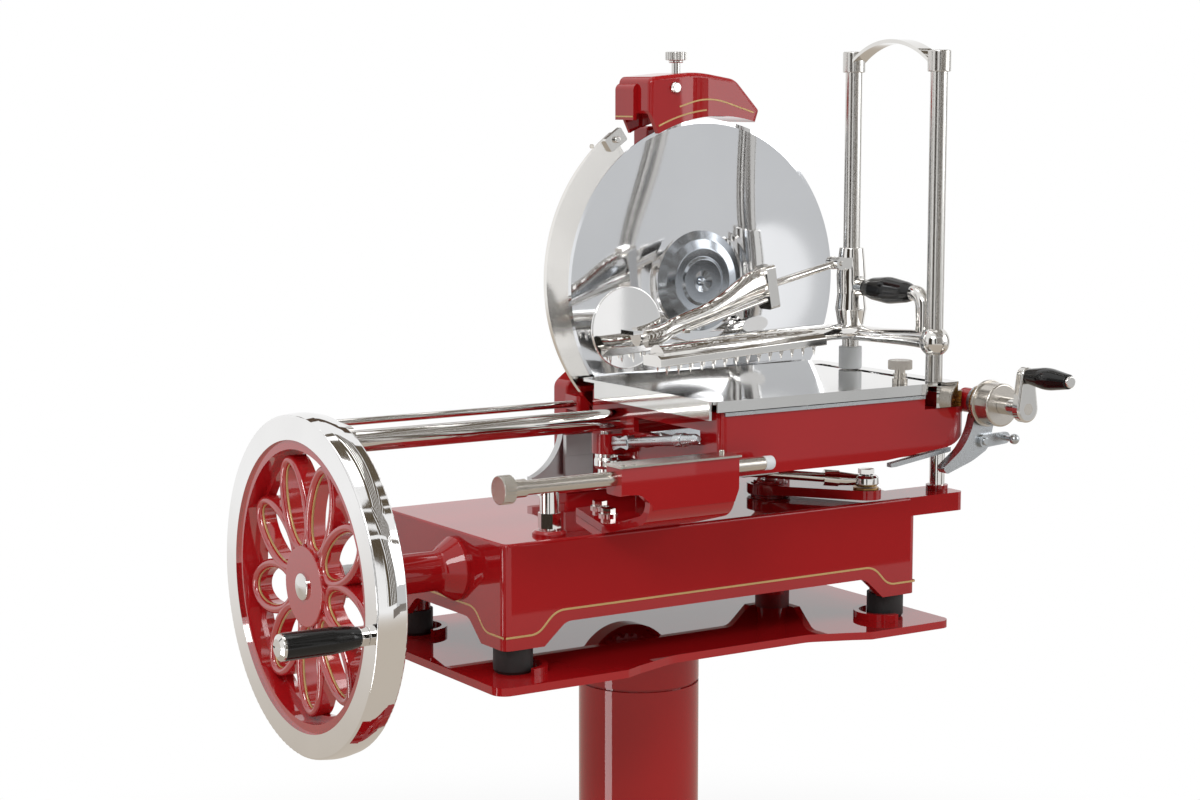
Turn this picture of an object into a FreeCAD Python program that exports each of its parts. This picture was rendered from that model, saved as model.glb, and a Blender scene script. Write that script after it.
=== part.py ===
import FreeCAD, Part
import math
import os

# Hand cranked flywheel meat slicer on its pedestal, as an assembly of separate parts.
#
# Lengths are millimetres. The drawing frame has its origin at the front left corner of the
# base casting's top face: +X runs to the right along the slide rail, +Y to the back, +Z up.
# The exported frame is the same one, moved so that its origin lies on the pedestal's axis at
# floor level.

Vec = FreeCAD.Vector
X_AXIS = Vec(1, 0, 0)
Y_AXIS = Vec(0, 1, 0)
Z_AXIS = Vec(0, 0, 1)

# ---- driving dimensions -------------------------------------------------------------------
BASE_LENGTH = 511.0            # base casting along X
BASE_WIDTH = 247.0             # base casting along Y
BASE_WALL = 9.0
SKIRT_DEPTH = 82.0             # top face down to the arched skirt edge
LEG_DEPTH = 104.0              # top face down to the corner legs' soles
FOOT_RADIUS = 19.5
FOOT_HEIGHT = 26.0
FOOT_INSET = 23.0
BASE_TOP_HEIGHT = 900.0        # base casting's top face above the floor
PEDESTAL_X = 250.0
PEDESTAL_Y = 143.0
PLATE_TOP = -LEG_DEPTH - FOOT_HEIGHT
PLATE_THICK = 8.0
SOCKET_DEPTH = 28.0            # collar under the pedestal's top plate
COLUMN_RADIUS = 64.0

RUNNING_GAP = 0.05             # radial clearance of shafts in their bushes
CRANK_SHAFT_RADIUS = 9.0
CROSS_SHAFT_RADIUS = 8.0
BLADE_SHAFT_RADIUS = 12.0

FLYWHEEL_RADIUS = 166.0
FLYWHEEL_FRONT = -171.0        # X of the rim's outer face
FLYWHEEL_BACK = -139.0
SHAFT_Y = 96.0                 # main shaft and vertical crank shaft share this Y
SHAFT_Z = -38.0
SHAFT_RADIUS = 10.0
PETAL_COUNT = 9
PETAL_WIDTH = 18.6             # half width of a petal's opening
PETAL_RIB = 8.6
PETAL_INNER = 40.0             # opening's ends, as radii
PETAL_OUTER = 119.0
PETAL_FACE = -162.0
PETAL_BACK = -143.0
BUSH_RADIUS = 15.0
CROSS_X = 308.0                # cross shaft to the blade drive, along Y
HANDLE_OFFSET_Y = -141.0       # handle spindle from the main shaft
HANDLE_OFFSET_Z = -20.0

CRANK_X = 386.0                # vertical crank shaft
CRANK_BOSS_LOW = -16.0         # just above the bevel gears
CRANK_RADIUS = 108.5
CRANK_PIN = (445.0, 5.0)       # crank pin centre at rest (X, Y)
ROD_PIVOT = (199.0, 128.0)     # connecting rod's pivot under the carriage (X, Y)
ROD_PIVOT_Z = 47.0
ROD_END_Z = 23.0

RAIL_RADIUS = 11.0
RAIL_Y = 120.0
RAIL_Z = 93.0
RAIL_LEFT = -110.0
RAIL_RIGHT = 558.0
FRONT_RAIL_RADIUS = 5.5
FRONT_RAIL_Y = 25.0
FRONT_RAIL_Z = 45.0
TIE_Y = 200.0
TIE_Z = 100.0
TIE_RADIUS = 3.7

FRAME_FRONT = 222.0
FRAME_BACK = 247.0

BLADE_RADIUS = 175.0
BLADE_X = 366.0
BLADE_Y = 190.0                # plane of the cutting edge
BLADE_Z = 224.0
GUARD_RADIUS = 186.0
GUARD_X = 349.0
GUARD_Z = 232.0

TABLE_LEFT = 200.0
TABLE_RIGHT = 516.0
TABLE_FRONT = -60.0
TABLE_BACK = 180.0
TABLE_TOP = 130.0
CARRIAGE_LEFT = 212.0
CARRIAGE_RIGHT = 535.0
DECK_BOTTOM = 112.0
CARRIAGE_FRONT = -57.0
CARRIAGE_TOP = 118.0
CARRIAGE_BOTTOM = 54.0

POST_X = 490.0
POST_FRONT_Y = -48.0
POST_BACK_Y = 90.0
POST_RADIUS = 9.0
POST_TOP = 471.0
CAP_RADIUS = 12.0
CAP_HEIGHT = 22.0
LUG_REACH = 22.5               # press hinge, left of the back post
PRESS_HINGE_Z = 246.0
ARM_Z = 172.0                  # height of the clamp arm's hubs
GRIP_Z = 220.0
ELBOW_Y = -29.5
ELBOW_FOOT_Z = 186.0
ELBOW_BEND = 13.5              # radius of the elbow's quarter turn
ELBOW_RADIUS = 8.5
PLATE_LENGTH = 208.0
PLATE_RISE = 11.0

SCREW_X = 541.0                # feed screw axis, along Y
SCREW_Z = 107.0
FEED_THROW = 34.0

ROD_Y = -75.0                  # slice thickness rod
ROD_Z = 68.0
WALL_FRONT = -88.0             # stop bracket's front wall
WALL_BACK = -80.0
BRACKET_SCREWS = ((148.0, 46.0), (165.0, 88.0))

STONE_X = 331.0                # sharpener's press stem
STONE_Y = 195.0
COVER_FRONT = 163.0
LINK_X = 200.0                 # pull link beside the carriage's left wall

MACHINE_ORIGIN = Vec(-PEDESTAL_X, -PEDESTAL_Y, BASE_TOP_HEIGHT)


# ---- geometry helpers ---------------------------------------------------------------------
def bar(start, end, radius):
    """Round bar between two points."""
    start, end = Vec(*start), Vec(*end)
    run = end - start
    return Part.makeCylinder(radius, run.Length, start, run)


def cone(start, end, radius_start, radius_end):
    """Tapered round bar between two points."""
    start, end = Vec(*start), Vec(*end)
    run = end - start
    return Part.makeCone(radius_start, radius_end, run.Length, start, run)


def ball(centre, radius):
    return Part.makeSphere(radius, Vec(*centre))


def block(low, high):
    """Square block between two opposite corners."""
    low, high = Vec(*low), Vec(*high)
    size = high - low
    return Part.makeBox(size.x, size.y, size.z, low)


def fuse(shapes):
    """One solid from several that overlap."""
    first = shapes[0]
    return first.multiFuse(shapes[1:]).removeSplitter() if len(shapes) > 1 else first


def group(shapes):
    """Separate solids kept together in one node."""
    return Part.makeCompound(shapes)


def corner_points(corners, index):
    """Where the rounding of one outline corner starts, bulges and ends."""
    here = Vec(corners[index][0], corners[index][1], 0)
    radius = corners[index][2] if len(corners[index]) > 2 else 0
    if radius <= 0:
        return here, None, here
    before = corners[index - 1]
    after = corners[(index + 1) % len(corners)]
    back = (Vec(before[0], before[1], 0) - here).normalize()
    ahead = (Vec(after[0], after[1], 0) - here).normalize()
    half = back.getAngle(ahead) / 2
    reach = radius / math.tan(half)
    centre = here + (back + ahead).normalize() * (radius / math.sin(half))
    middle = centre + (here - centre).normalize() * radius
    return here + back * reach, middle, here + ahead * reach


def outline(corners):
    """Closed face in the XY plane through (u, v[, rounding radius]) corners."""
    points = [corner_points(corners, i) for i in range(len(corners))]
    edges = []
    for i, (start, middle, end) in enumerate(points):
        if middle is not None:
            edges.append(Part.Arc(start, middle, end).toShape())
        following = points[(i + 1) % len(points)][0]
        if (following - end).Length > 1e-6:
            edges.append(Part.LineSegment(end, following).toShape())
    return Part.Face(Part.Wire(edges))


def plate(corners, axis, low, high):
    """Outline extruded along an axis. Its (u, v) are (Y, Z), (X, Z) or (X, Y) by axis."""
    solid = outline(corners).extrude(Vec(0, 0, high - low))
    if axis == "x":
        solid.Placement = FreeCAD.Placement(FreeCAD.Matrix(0, 0, 1, low, 1, 0, 0, 0, 0, 1, 0, 0))
    elif axis == "y":
        solid.Placement = FreeCAD.Placement(FreeCAD.Matrix(1, 0, 0, 0, 0, 0, -1, high, 0, 1, 0, 0))
    else:
        solid.translate(Vec(0, 0, low))
    return solid


def spin(profile, origin, direction):
    """Solid of revolution from (along, radius[, rounding]) corners round an axis."""
    face = outline(profile)
    solid = face.revolve(Vec(0, 0, 0), X_AXIS, 360)
    turn = FreeCAD.Rotation(X_AXIS, Vec(*direction))
    solid.Placement = FreeCAD.Placement(Vec(*origin), turn).multiply(solid.Placement)
    return solid


def ring(origin, direction, outer, inner, length):
    """Plain tube."""
    return spin([(0, inner), (length, inner), (length, outer), (0, outer)], origin, direction)


def knurled(origin, direction, radius, length, ribs):
    """Knob rim with shallow vertical flutes."""
    body = spin([(0, 0), (length, 0), (length, radius, 1), (0, radius, 1)], origin, direction)
    across = Vec(*direction).cross(Vec(0.31, 0.52, 0.79)).normalize()
    cuts = []
    for i in range(ribs):
        spoke = FreeCAD.Rotation(Vec(*direction), 360.0 * i / ribs).multVec(across)
        start = Vec(*origin) + spoke * (radius + 0.9)
        cuts.append(Part.makeCylinder(1.5, length, start, Vec(*direction)))
    return body.cut(Part.makeCompound(cuts))


def hexagon(origin, across_flats, height):
    """Hexagon prism standing along +Z."""
    radius = across_flats / math.sqrt(3)
    corners = []
    for i in range(6):
        angle = math.radians(60 * i + 15)
        corners.append((origin[0] + radius * math.cos(angle), origin[1] + radius * math.sin(angle)))
    return plate(corners, "z", origin[2], origin[2] + height)


def teardrop(inner_radius, outer_radius, inner_at, outer_at, low, high):
    """Prism along +X of the hull of two circles that lie on the +Y axis."""
    lean = math.asin((outer_radius - inner_radius) / (outer_at - inner_at))
    side_y, side_z = -math.sin(lean), math.cos(lean)

    def at(centre, radius, up):
        return Vec(low, centre + radius * side_y, up * radius * side_z)

    edges = [
        Part.LineSegment(at(inner_at, inner_radius, 1), at(outer_at, outer_radius, 1)).toShape(),
        Part.Arc(at(outer_at, outer_radius, 1), Vec(low, outer_at + outer_radius, 0),
                 at(outer_at, outer_radius, -1)).toShape(),
        Part.LineSegment(at(outer_at, outer_radius, -1), at(inner_at, inner_radius, -1)).toShape(),
        Part.Arc(at(inner_at, inner_radius, -1), Vec(low, inner_at - inner_radius, 0),
                 at(inner_at, inner_radius, 1)).toShape(),
    ]
    return Part.Face(Part.Wire(edges)).extrude(Vec(high - low, 0, 0))


def turned(shape, origin, axis, degrees):
    copy = shape.copy()
    copy.rotate(Vec(*origin), axis, degrees)
    return copy


def round_edges(solid, radius, wanted):
    """Fillet the edges that a test picks."""
    edges = [edge for edge in solid.Edges if wanted(edge)]
    return solid.makeFillet(radius, edges)


# ---- base and pedestal --------------------------------------------------------------------
def foot_centres():
    far_x, far_y = BASE_LENGTH - FOOT_INSET, BASE_WIDTH - FOOT_INSET
    return [(FOOT_INSET, FOOT_INSET), (far_x, FOOT_INSET), (FOOT_INSET, far_y), (far_x, far_y)]


def arch(length, low):
    """Outline of the opening between two corner legs, with its ogee shoulders."""
    return [(44, low), (55, -95, 8), (70, -SKIRT_DEPTH, 16),
            (length - 70, -SKIRT_DEPTH, 16), (length - 55, -95, 8), (length - 44, low)]


def base_casting():
    """Hollow cast base on four legs, with bosses for the shafts and a lug for the front rail."""
    walls = [(0, 0, 8), (BASE_LENGTH, 0, 8), (BASE_LENGTH, BASE_WIDTH, 8), (0, BASE_WIDTH, 8)]
    body = plate(walls, "z", -LEG_DEPTH, 0)
    body = round_edges(body, 3, lambda edge: edge.BoundBox.ZMin > -1)
    hollow = block((BASE_WALL, BASE_WALL, -LEG_DEPTH - 1),
                   (BASE_LENGTH - BASE_WALL, BASE_WIDTH - BASE_WALL, -12))
    body = body.cut(hollow)
    body = body.cut(plate(arch(BASE_LENGTH, -LEG_DEPTH - 1), "y", -1, BASE_WIDTH + 1))
    body = body.cut(plate(arch(BASE_WIDTH, -LEG_DEPTH - 1), "x", -1, BASE_LENGTH + 1))
    pads = [bar((x, y, -LEG_DEPTH), (x, y, -11), 17) for x, y in foot_centres()]
    lug = plate([(500, 0, 3), (578, 0, 9), (578, 50, 9), (500, 50, 3)], "z", -20, 0)
    crank_boss = bar((CRANK_X, SHAFT_Y, CRANK_BOSS_LOW), (CRANK_X, SHAFT_Y, 1.5), 20)
    inner_wall = block((236, 66, -78), (250, 126, -11))
    cross_rib = block((CROSS_X - 26, 158, -78), (CROSS_X + 26, 170, -11))
    rail_boss = bar((560, FRONT_RAIL_Y, -1), (560, FRONT_RAIL_Y, 6), 12)
    collar_profile = [(-1, 10), (5, 10), (5, 14, 1.5), (2.5, 17, 1), (-1, 17)]
    collar = spin(collar_profile, (66, FRONT_RAIL_Y, 0), (0, 0, 1))
    body = fuse([body, lug, crank_boss, inner_wall, cross_rib, rail_boss, collar] + pads)
    holes = [bar((-5, SHAFT_Y, SHAFT_Z), (255, SHAFT_Y, SHAFT_Z), 15),
             bar((CRANK_X, SHAFT_Y, -41), (CRANK_X, SHAFT_Y, 3), 14),
             bar((CROSS_X, 157, SHAFT_Z), (CROSS_X, 250, SHAFT_Z), 12),
             bar((560, FRONT_RAIL_Y, -21), (560, FRONT_RAIL_Y, 7), 4)]
    for hole in holes:
        body = body.cut(hole)
    return body


def base_feet():
    """Four rubber feet with a chamfered sole."""
    profile = [(0, 0), (FOOT_HEIGHT, 0), (FOOT_HEIGHT, FOOT_RADIUS - 2),
               (FOOT_HEIGHT - 3, FOOT_RADIUS, 1), (0, FOOT_RADIUS)]
    return group([spin(profile, (x, y, -LEG_DEPTH), (0, 0, -1)) for x, y in foot_centres()])


def stand_plate():
    """Pedestal's top plate: a waisted front edge and a crescent stop beside each foot."""
    left, right, front, back = -26.0, 534.0, -34.0, 281.0
    shape = [(left, front, 14), (120, front, 6), (140, front + 9, 8), (190, front + 26, 40),
             (360, front + 26, 40), (404, front + 9, 8), (424, front, 6), (right, front, 14),
             (right, back, 14), (left, back, 14)]
    top = plate(shape, "z", PLATE_TOP - PLATE_THICK, PLATE_TOP)
    crescents = []
    for x, y in foot_centres():
        toward = 1 if x < 200 else -1
        cup = ring((x + 5 * toward, y, PLATE_TOP - 1), (0, 0, 1), 30, 24, 8)
        keep = block((x + 6 * toward, y - 32, PLATE_TOP - 1), (x + 6 * toward + 40, y + 32, PLATE_TOP + 7))
        if toward < 0:
            keep = block((x - 46, y - 32, PLATE_TOP - 1), (x - 6, y + 32, PLATE_TOP + 7))
        crescents.append(cup.common(keep))
    socket = bar((PEDESTAL_X, PEDESTAL_Y, PLATE_TOP - SOCKET_DEPTH),
                 (PEDESTAL_X, PEDESTAL_Y, PLATE_TOP - 7), COLUMN_RADIUS)
    return fuse([top, socket] + crescents)


def stand_column():
    """Cast pedestal: round column with a shoulder groove, flared onto its rounded foot plate."""
    floor = -BASE_TOP_HEIGHT
    length = PLATE_TOP - SOCKET_DEPTH - floor
    radius, groove = COLUMN_RADIUS, COLUMN_RADIUS - 2
    profile = [(10, 0), (length, 0), (length, radius, 2), (length - 32, radius), (length - 32, groove),
               (length - 35, groove), (length - 35, radius), (210, radius, 60), (60, 92, 60), (32, 150, 6),
               (10, 150)]
    column = spin(profile, (PEDESTAL_X, PEDESTAL_Y, floor), (0, 0, 1))
    left, right = PEDESTAL_X - 235, PEDESTAL_X + 235
    front, back = PEDESTAL_Y - 190, PEDESTAL_Y + 190
    corners = [(left, front, 60), (right, front, 60), (right, back, 60), (left, back, 60)]
    foot = plate(corners, "z", floor, floor + 20)
    foot = round_edges(foot, 5, lambda edge: edge.BoundBox.ZMin > floor + 19)
    return fuse([column, foot])


def shaft_housing():
    """Flared tube that carries the main shaft out to the flywheel."""
    profile = [(-90, SHAFT_RADIUS + 4), (0, SHAFT_RADIUS + 4), (0, 32), (-4, 32, 2),
               (-22, 20, 14), (-86, 20), (-90, 18)]
    return spin(profile, (0, SHAFT_Y, SHAFT_Z), (1, 0, 0))


def drive_bushes():
    """Bronze bushes of the main, crank, cross and blade shafts."""
    bore = SHAFT_RADIUS + RUNNING_GAP
    cross_bore = CROSS_SHAFT_RADIUS + RUNNING_GAP
    return group([ring((0, SHAFT_Y, SHAFT_Z), (1, 0, 0), BUSH_RADIUS, bore, BASE_WALL),
                  ring((236, SHAFT_Y, SHAFT_Z), (1, 0, 0), BUSH_RADIUS, bore, 14),
                  ring((-90, SHAFT_Y, SHAFT_Z), (1, 0, 0), SHAFT_RADIUS + 4, bore, 22),
                  ring((CRANK_X, SHAFT_Y, CRANK_BOSS_LOW), (0, 0, 1), 14, CRANK_SHAFT_RADIUS + RUNNING_GAP,
                       2 - CRANK_BOSS_LOW),
                  ring((CROSS_X, 158, SHAFT_Z), (0, 1, 0), 12, cross_bore, 12),
                  ring((CROSS_X, BASE_WIDTH - BASE_WALL, SHAFT_Z), (0, 1, 0), 12, cross_bore, BASE_WALL),
                  ring((BLADE_X, 211, BLADE_Z), (0, 1, 0), 17, BLADE_SHAFT_RADIUS + RUNNING_GAP,
                       FRAME_BACK - 211)])


# ---- flywheel -----------------------------------------------------------------------------
def flywheel_rim():
    """Mirror-polished rim: flat outer face, gently crowned tread."""
    back = FLYWHEEL_BACK - FLYWHEEL_FRONT
    inner = 0.845 * FLYWHEEL_RADIUS
    profile = [(0, inner), (back, inner), (back, FLYWHEEL_RADIUS - 3, 3),
               (0.5 * back, FLYWHEEL_RADIUS, 40), (0, FLYWHEEL_RADIUS - 2, 2)]
    return spin(profile, (FLYWHEEL_FRONT, SHAFT_Y, SHAFT_Z), (1, 0, 0))


def petal_prism(half_width, inner_at, outer_at, low, high):
    """Elliptic prism along +X, its long axis on +Y between two radii."""
    centre = Vec(low, 0.5 * (inner_at + outer_at), 0)
    ellipse = Part.Ellipse(Vec(low, outer_at, 0), centre + Vec(0, 0, half_width), centre)
    return Part.Face(Part.Wire(ellipse.toShape())).extrude(Vec(high - low, 0, 0))


def flywheel_web():
    """Cast web: nine looped petals round a hub, joined to a band inside the rim."""
    radius = FLYWHEEL_RADIUS
    hub = spin([(-165, 0), (-134, 0), (-134, 0.19 * radius, 3), (-143, 0.19 * radius),
                (-143, 0.235 * radius), (-165, 0.235 * radius, 1)], (0, 0, 0), (1, 0, 0))
    band = ring((-168, 0, 0), (1, 0, 0), 0.845 * radius, 0.79 * radius, 27)
    lip = ring((-152, 0, 0), (1, 0, 0), 0.80 * radius, 0.755 * radius, 9)
    loop = petal_prism(PETAL_WIDTH + PETAL_RIB, PETAL_INNER - PETAL_RIB, PETAL_OUTER + PETAL_RIB,
                       PETAL_FACE, PETAL_BACK)
    loop = loop.cut(petal_prism(PETAL_WIDTH, PETAL_INNER, PETAL_OUTER, PETAL_FACE - 1, PETAL_BACK + 1))
    loop = round_edges(loop, 0.45 * PETAL_RIB, lambda edge: edge.BoundBox.XMax < PETAL_FACE + 0.1)
    angles = [-90 + i * 360.0 / PETAL_COUNT for i in range(PETAL_COUNT)]
    petals = [turned(loop, (0, 0, 0), X_AXIS, angle) for angle in angles]
    web = hub.multiFuse([band, lip] + petals)
    web = web.cut(bar((-170, 0, 0), (-130, 0, 0), SHAFT_RADIUS))
    web.translate(Vec(0, SHAFT_Y, SHAFT_Z))
    return web


def flywheel_cap():
    """Slotted chrome screw that holds the wheel on its shaft."""
    cap = spin([(-169.5, 0), (-165, 0), (-165, 13), (-167.5, 13, 1)], (0, SHAFT_Y, SHAFT_Z), (1, 0, 0))
    slot = block((-172, SHAFT_Y - 14, SHAFT_Z - 0.9), (-168.2, SHAFT_Y + 14, SHAFT_Z + 0.9))
    return cap.cut(slot)


def miter_gear(apex, direction, bore):
    """Bevel gear of a right-angle pair: its cone points along the direction, at the apex."""
    large, small = 26.0, 14.0
    profile = [(-large - 9, bore), (-small, bore), (-small, small - 0.4), (-large, large - 0.4),
               (-large - 3, large - 3.4), (-large - 3, bore + 7), (-large - 9, bore + 7)]
    return spin(profile, apex, direction)


def main_shaft():
    """Main shaft with a thrust collar and its two bevel gears, for the crank and the blade."""
    shaft = bar((-165, SHAFT_Y, SHAFT_Z), (352, SHAFT_Y, SHAFT_Z), SHAFT_RADIUS)
    collar = bar((-130, SHAFT_Y, SHAFT_Z), (-90.4, SHAFT_Y, SHAFT_Z), 16)
    return group([fuse([shaft, collar]),
                  miter_gear((CRANK_X, SHAFT_Y, SHAFT_Z), (1, 0, 0), SHAFT_RADIUS),
                  miter_gear((CROSS_X, SHAFT_Y, SHAFT_Z), (1, 0, 0), SHAFT_RADIUS)])


def handle_centre(x):
    return (x, SHAFT_Y + HANDLE_OFFSET_Y, SHAFT_Z + HANDLE_OFFSET_Z)


def handle_spindle():
    """Steel spindle screwed into the rim, with its hexagon shoulder and slotted end screw."""
    spindle = bar(handle_centre(-254), handle_centre(-171), 5)
    shoulder = spin([(0, 0), (8, 0), (8, 9, 1), (0, 9, 1)], handle_centre(-179), (1, 0, 0))
    head = spin([(0, 0), (5, 0), (5, 12.2), (2.5, 12.2, 1.5), (0, 8)], handle_centre(-259), (1, 0, 0))
    slot_y, slot_z = handle_centre(0)[1:]
    slot = block((-260, slot_y - 9, slot_z - 0.8), (-257.5, slot_y + 9, slot_z + 0.8))
    return fuse([spindle, shoulder, head]).cut(slot)


def handle_grip():
    """Turning grip: straight barrel, tapered towards the wheel."""
    bore = 5 + RUNNING_GAP
    profile = [(0, bore), (74.4, bore), (74.4, 9.5, 1), (66, 11), (48, 12.6, 30), (0, 12.6, 1)]
    return spin(profile, handle_centre(-253.8), (1, 0, 0))


# ---- carriage drive -----------------------------------------------------------------------
def crank_shaft():
    """Vertical crank shaft with its bevel gear and the nut over the lever."""
    shaft = bar((CRANK_X, SHAFT_Y, -72), (CRANK_X, SHAFT_Y, 14), CRANK_SHAFT_RADIUS)
    nut = spin([(0, 0), (6, 0), (6, 7, 1), (3, 8.9), (0, 8.9)], (CRANK_X, SHAFT_Y, 14), (0, 0, 1))
    return group([shaft.fuse(nut).removeSplitter(),
                  miter_gear((CRANK_X, SHAFT_Y, SHAFT_Z), (0, 0, 1), CRANK_SHAFT_RADIUS)])


def crank_lever():
    """Flat lever with a stepped hub and a boss for the crank pin."""
    away = math.degrees(math.atan2(CRANK_PIN[1] - SHAFT_Y, CRANK_PIN[0] - CRANK_X))
    arm = teardrop(24, 16, 0.0, CRANK_RADIUS, 0, 10)
    arm.rotate(Vec(0, 0, 0), Y_AXIS, -90)
    arm.rotate(Vec(0, 0, 0), Z_AXIS, away - 90)
    arm.translate(Vec(CRANK_X, SHAFT_Y, 4))
    steps = spin([(2.5, CRANK_SHAFT_RADIUS), (17, CRANK_SHAFT_RADIUS), (17, 17, 1), (15, 17), (15, 20, 1),
                  (13, 20), (13, 23), (2.5, 23)], (CRANK_X, SHAFT_Y, 0), (0, 0, 1))
    lever = arm.cut(bar((CRANK_X, SHAFT_Y, 0), (CRANK_X, SHAFT_Y, 20), CRANK_SHAFT_RADIUS))
    lever = lever.fuse(steps).removeSplitter()
    return lever.cut(bar(CRANK_PIN + (3,), CRANK_PIN + (15,), 6))


def crank_pin():
    """Crank pin riveted in the lever, with its brass washer face."""
    return spin([(4, 0), (16, 0), (16, 13.5, 0.5), (14, 13.5, 0.5), (14, 6), (4, 6)],
                CRANK_PIN + (0,), (0, 0, 1))


def connecting_rod():
    """Rod with a bored eye, a turned coupling, and a ball and bolt in its crank-end housing."""
    start = Vec(ROD_PIVOT[0], ROD_PIVOT[1], ROD_PIVOT_Z)
    end = Vec(CRANK_PIN[0], CRANK_PIN[1], ROD_END_Z)
    run = (end - start).normalize()
    eye = spin([(-6, 0), (6, 0), (6, 11.5), (3, 13, 1), (-3, 13, 1), (-6, 11.5)], tuple(start), (0, 0, 1))
    head = spin([(-5.6, 0), (6, 0), (6, 11), (3.5, 13.5, 1), (-3, 13.5, 1), (-5.6, 11)],
                tuple(end), (0, 0, 1))
    shank = bar(tuple(start + run * 9), tuple(end - run * 30), 5)
    neck = cone(tuple(end - run * 31), tuple(end - run * 9), 7.5, 6)
    coupling = bar(tuple(end - run * 46), tuple(end - run * 30), 8.5)
    rod = fuse([eye, head, shank, neck, coupling])
    pivot_hole = bar(ROD_PIVOT + (ROD_PIVOT_Z - 8,), ROD_PIVOT + (ROD_PIVOT_Z + 8,), 6 + RUNNING_GAP)
    rod = rod.cut(pivot_hole).cut(bar(CRANK_PIN + (16,), CRANK_PIN + (30,), 7.5))
    ball_end = ball(tuple(end), 7.4).common(bar(CRANK_PIN + (16.6,), CRANK_PIN + (31,), 8))
    stud = bar(CRANK_PIN + (16.6,), CRANK_PIN + (31,), 5)
    bolt = fuse([ball_end, stud, hexagon(CRANK_PIN + (30.5,), 15, 5)])
    return group([rod, bolt])


def rod_pivot_pin():
    """Pin on which the connecting rod swings, hung from the carriage's corner boss."""
    pin = bar(ROD_PIVOT + (36,), ROD_PIVOT + (80,), 6)
    head = bar(ROD_PIVOT + (36,), ROD_PIVOT + (40.6,), 9)
    collar = bar(ROD_PIVOT + (53.4,), ROD_PIVOT + (57,), 12)
    return fuse([pin, head, collar])


# ---- rails --------------------------------------------------------------------------------
def main_rail():
    ends = RAIL_RADIUS - 1.5
    length = RAIL_RIGHT - RAIL_LEFT
    profile = [(0, 0), (length, 0), (length, ends), (length - 1.5, RAIL_RADIUS),
               (1.5, RAIL_RADIUS), (0, ends)]
    return spin(profile, (RAIL_LEFT, RAIL_Y, RAIL_Z), (1, 0, 0))


def tie_bar():
    """Thin bar from the knife frame to the rail's free end, and the flat link there."""
    shape = [(RAIL_Y - 17, RAIL_Z - 15, 14), (RAIL_Y + 17, RAIL_Z - 17, 20), (TIE_Y + 9, TIE_Z - 9, 8),
             (TIE_Y + 9, TIE_Z + 9, 8), (RAIL_Y + 17, RAIL_Z + 17, 20), (RAIL_Y - 17, RAIL_Z + 15, 14)]
    link = plate(shape, "x", RAIL_LEFT, RAIL_LEFT + 8)
    link = link.cut(bar((RAIL_LEFT - 1, RAIL_Y, RAIL_Z), (RAIL_LEFT + 9, RAIL_Y, RAIL_Z), RAIL_RADIUS))
    link = link.cut(bar((RAIL_LEFT - 1, TIE_Y, TIE_Z), (RAIL_LEFT + 9, TIE_Y, TIE_Z), TIE_RADIUS))
    thin_bar = bar((RAIL_LEFT, TIE_Y, TIE_Z), (212, TIE_Y, TIE_Z), TIE_RADIUS)
    return group([link, thin_bar])


def front_rail():
    """Thin front rail through its left stand, with a hexagon, and its plain right post."""
    rail = bar((54, FRONT_RAIL_Y, FRONT_RAIL_Z), (573, FRONT_RAIL_Y, FRONT_RAIL_Z), FRONT_RAIL_RADIUS)
    left = spin([(0, 0), (53, 0), (53, 9.5, 2), (0, 9.5)], (66, FRONT_RAIL_Y, 0), (0, 0, 1))
    left = left.fuse(hexagon((66, FRONT_RAIL_Y, 7), 20, 15)).removeSplitter()
    right = bar((560, FRONT_RAIL_Y, 6), (560, FRONT_RAIL_Y, 53), 8.5)
    right = right.fuse(bar((560, FRONT_RAIL_Y, -18), (560, FRONT_RAIL_Y, 7), 4)).removeSplitter()
    return group([rail, left.cut(rail), right.cut(rail)])


# ---- slice thickness stop -----------------------------------------------------------------
def stop_bracket():
    """Bracket of J section: foot on the base, curled lip in front, head bored for the rod."""
    head = plate([(-62, 52, 3), (-62, 79), (WALL_FRONT, 79), (WALL_FRONT, 52, 3)], "x", 76, 212)
    curl = plate([(104, 0.2, 3), (104, 8, 3), (-4, 8, 10), (WALL_BACK, 31, 16), (WALL_BACK, 60),
                  (WALL_FRONT, 60), (WALL_FRONT, 24, 24), (-2, 0.2, 10)], "x", 108, 207)
    cheek = plate([(76, 79), (76, 54, 2), (98, 52, 8), (112, 40, 10), (112, 36), (207, 36),
                   (212, 48, 8), (212, 79)], "y", WALL_FRONT, WALL_BACK)
    slant = plate([(90, -4), (112, -4), (147, 106), (90, 106)], "z", -1, 12)
    heel = plate([(185, 10), (214, 10), (214, 106), (172, 106)], "z", -1, 12)
    bracket = fuse([head, curl.cut(slant).cut(heel), cheek])
    bracket = bracket.cut(bar((70, ROD_Y, ROD_Z), (220, ROD_Y, ROD_Z), 7 + RUNNING_GAP))
    for x, y in BRACKET_SCREWS:
        bracket = bracket.cut(bar((x, y, -1), (x, y, 10), 4))
    return bracket


def bracket_screws():
    """Two hexagon screws with washers that hold the bracket to the base."""
    screws = []
    for x, y in BRACKET_SCREWS:
        shank = spin([(0.3, 0), (10.5, 0), (10.5, 9.5), (8, 9.5), (8, 4), (0.3, 4)],
                     (x, y, 0), (0, 0, 1))
        screws.append(fuse([shank, hexagon((x, y, 10), 13, 5.5)]))
    return group(screws)


def ruler_plate():
    """Steel scale plate on the bracket's head, with a short index stud."""
    scale = plate([(74, -90, 1), (214, -90, 1), (214, -61, 1), (74, -61, 1)], "z", 79, 81)
    stud = spin([(0, 0), (4, 0), (4, 2.5, 1), (0, 2.5)], (204, -70, 80.5), (0, 0, 1))
    return fuse([scale, stud])


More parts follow.
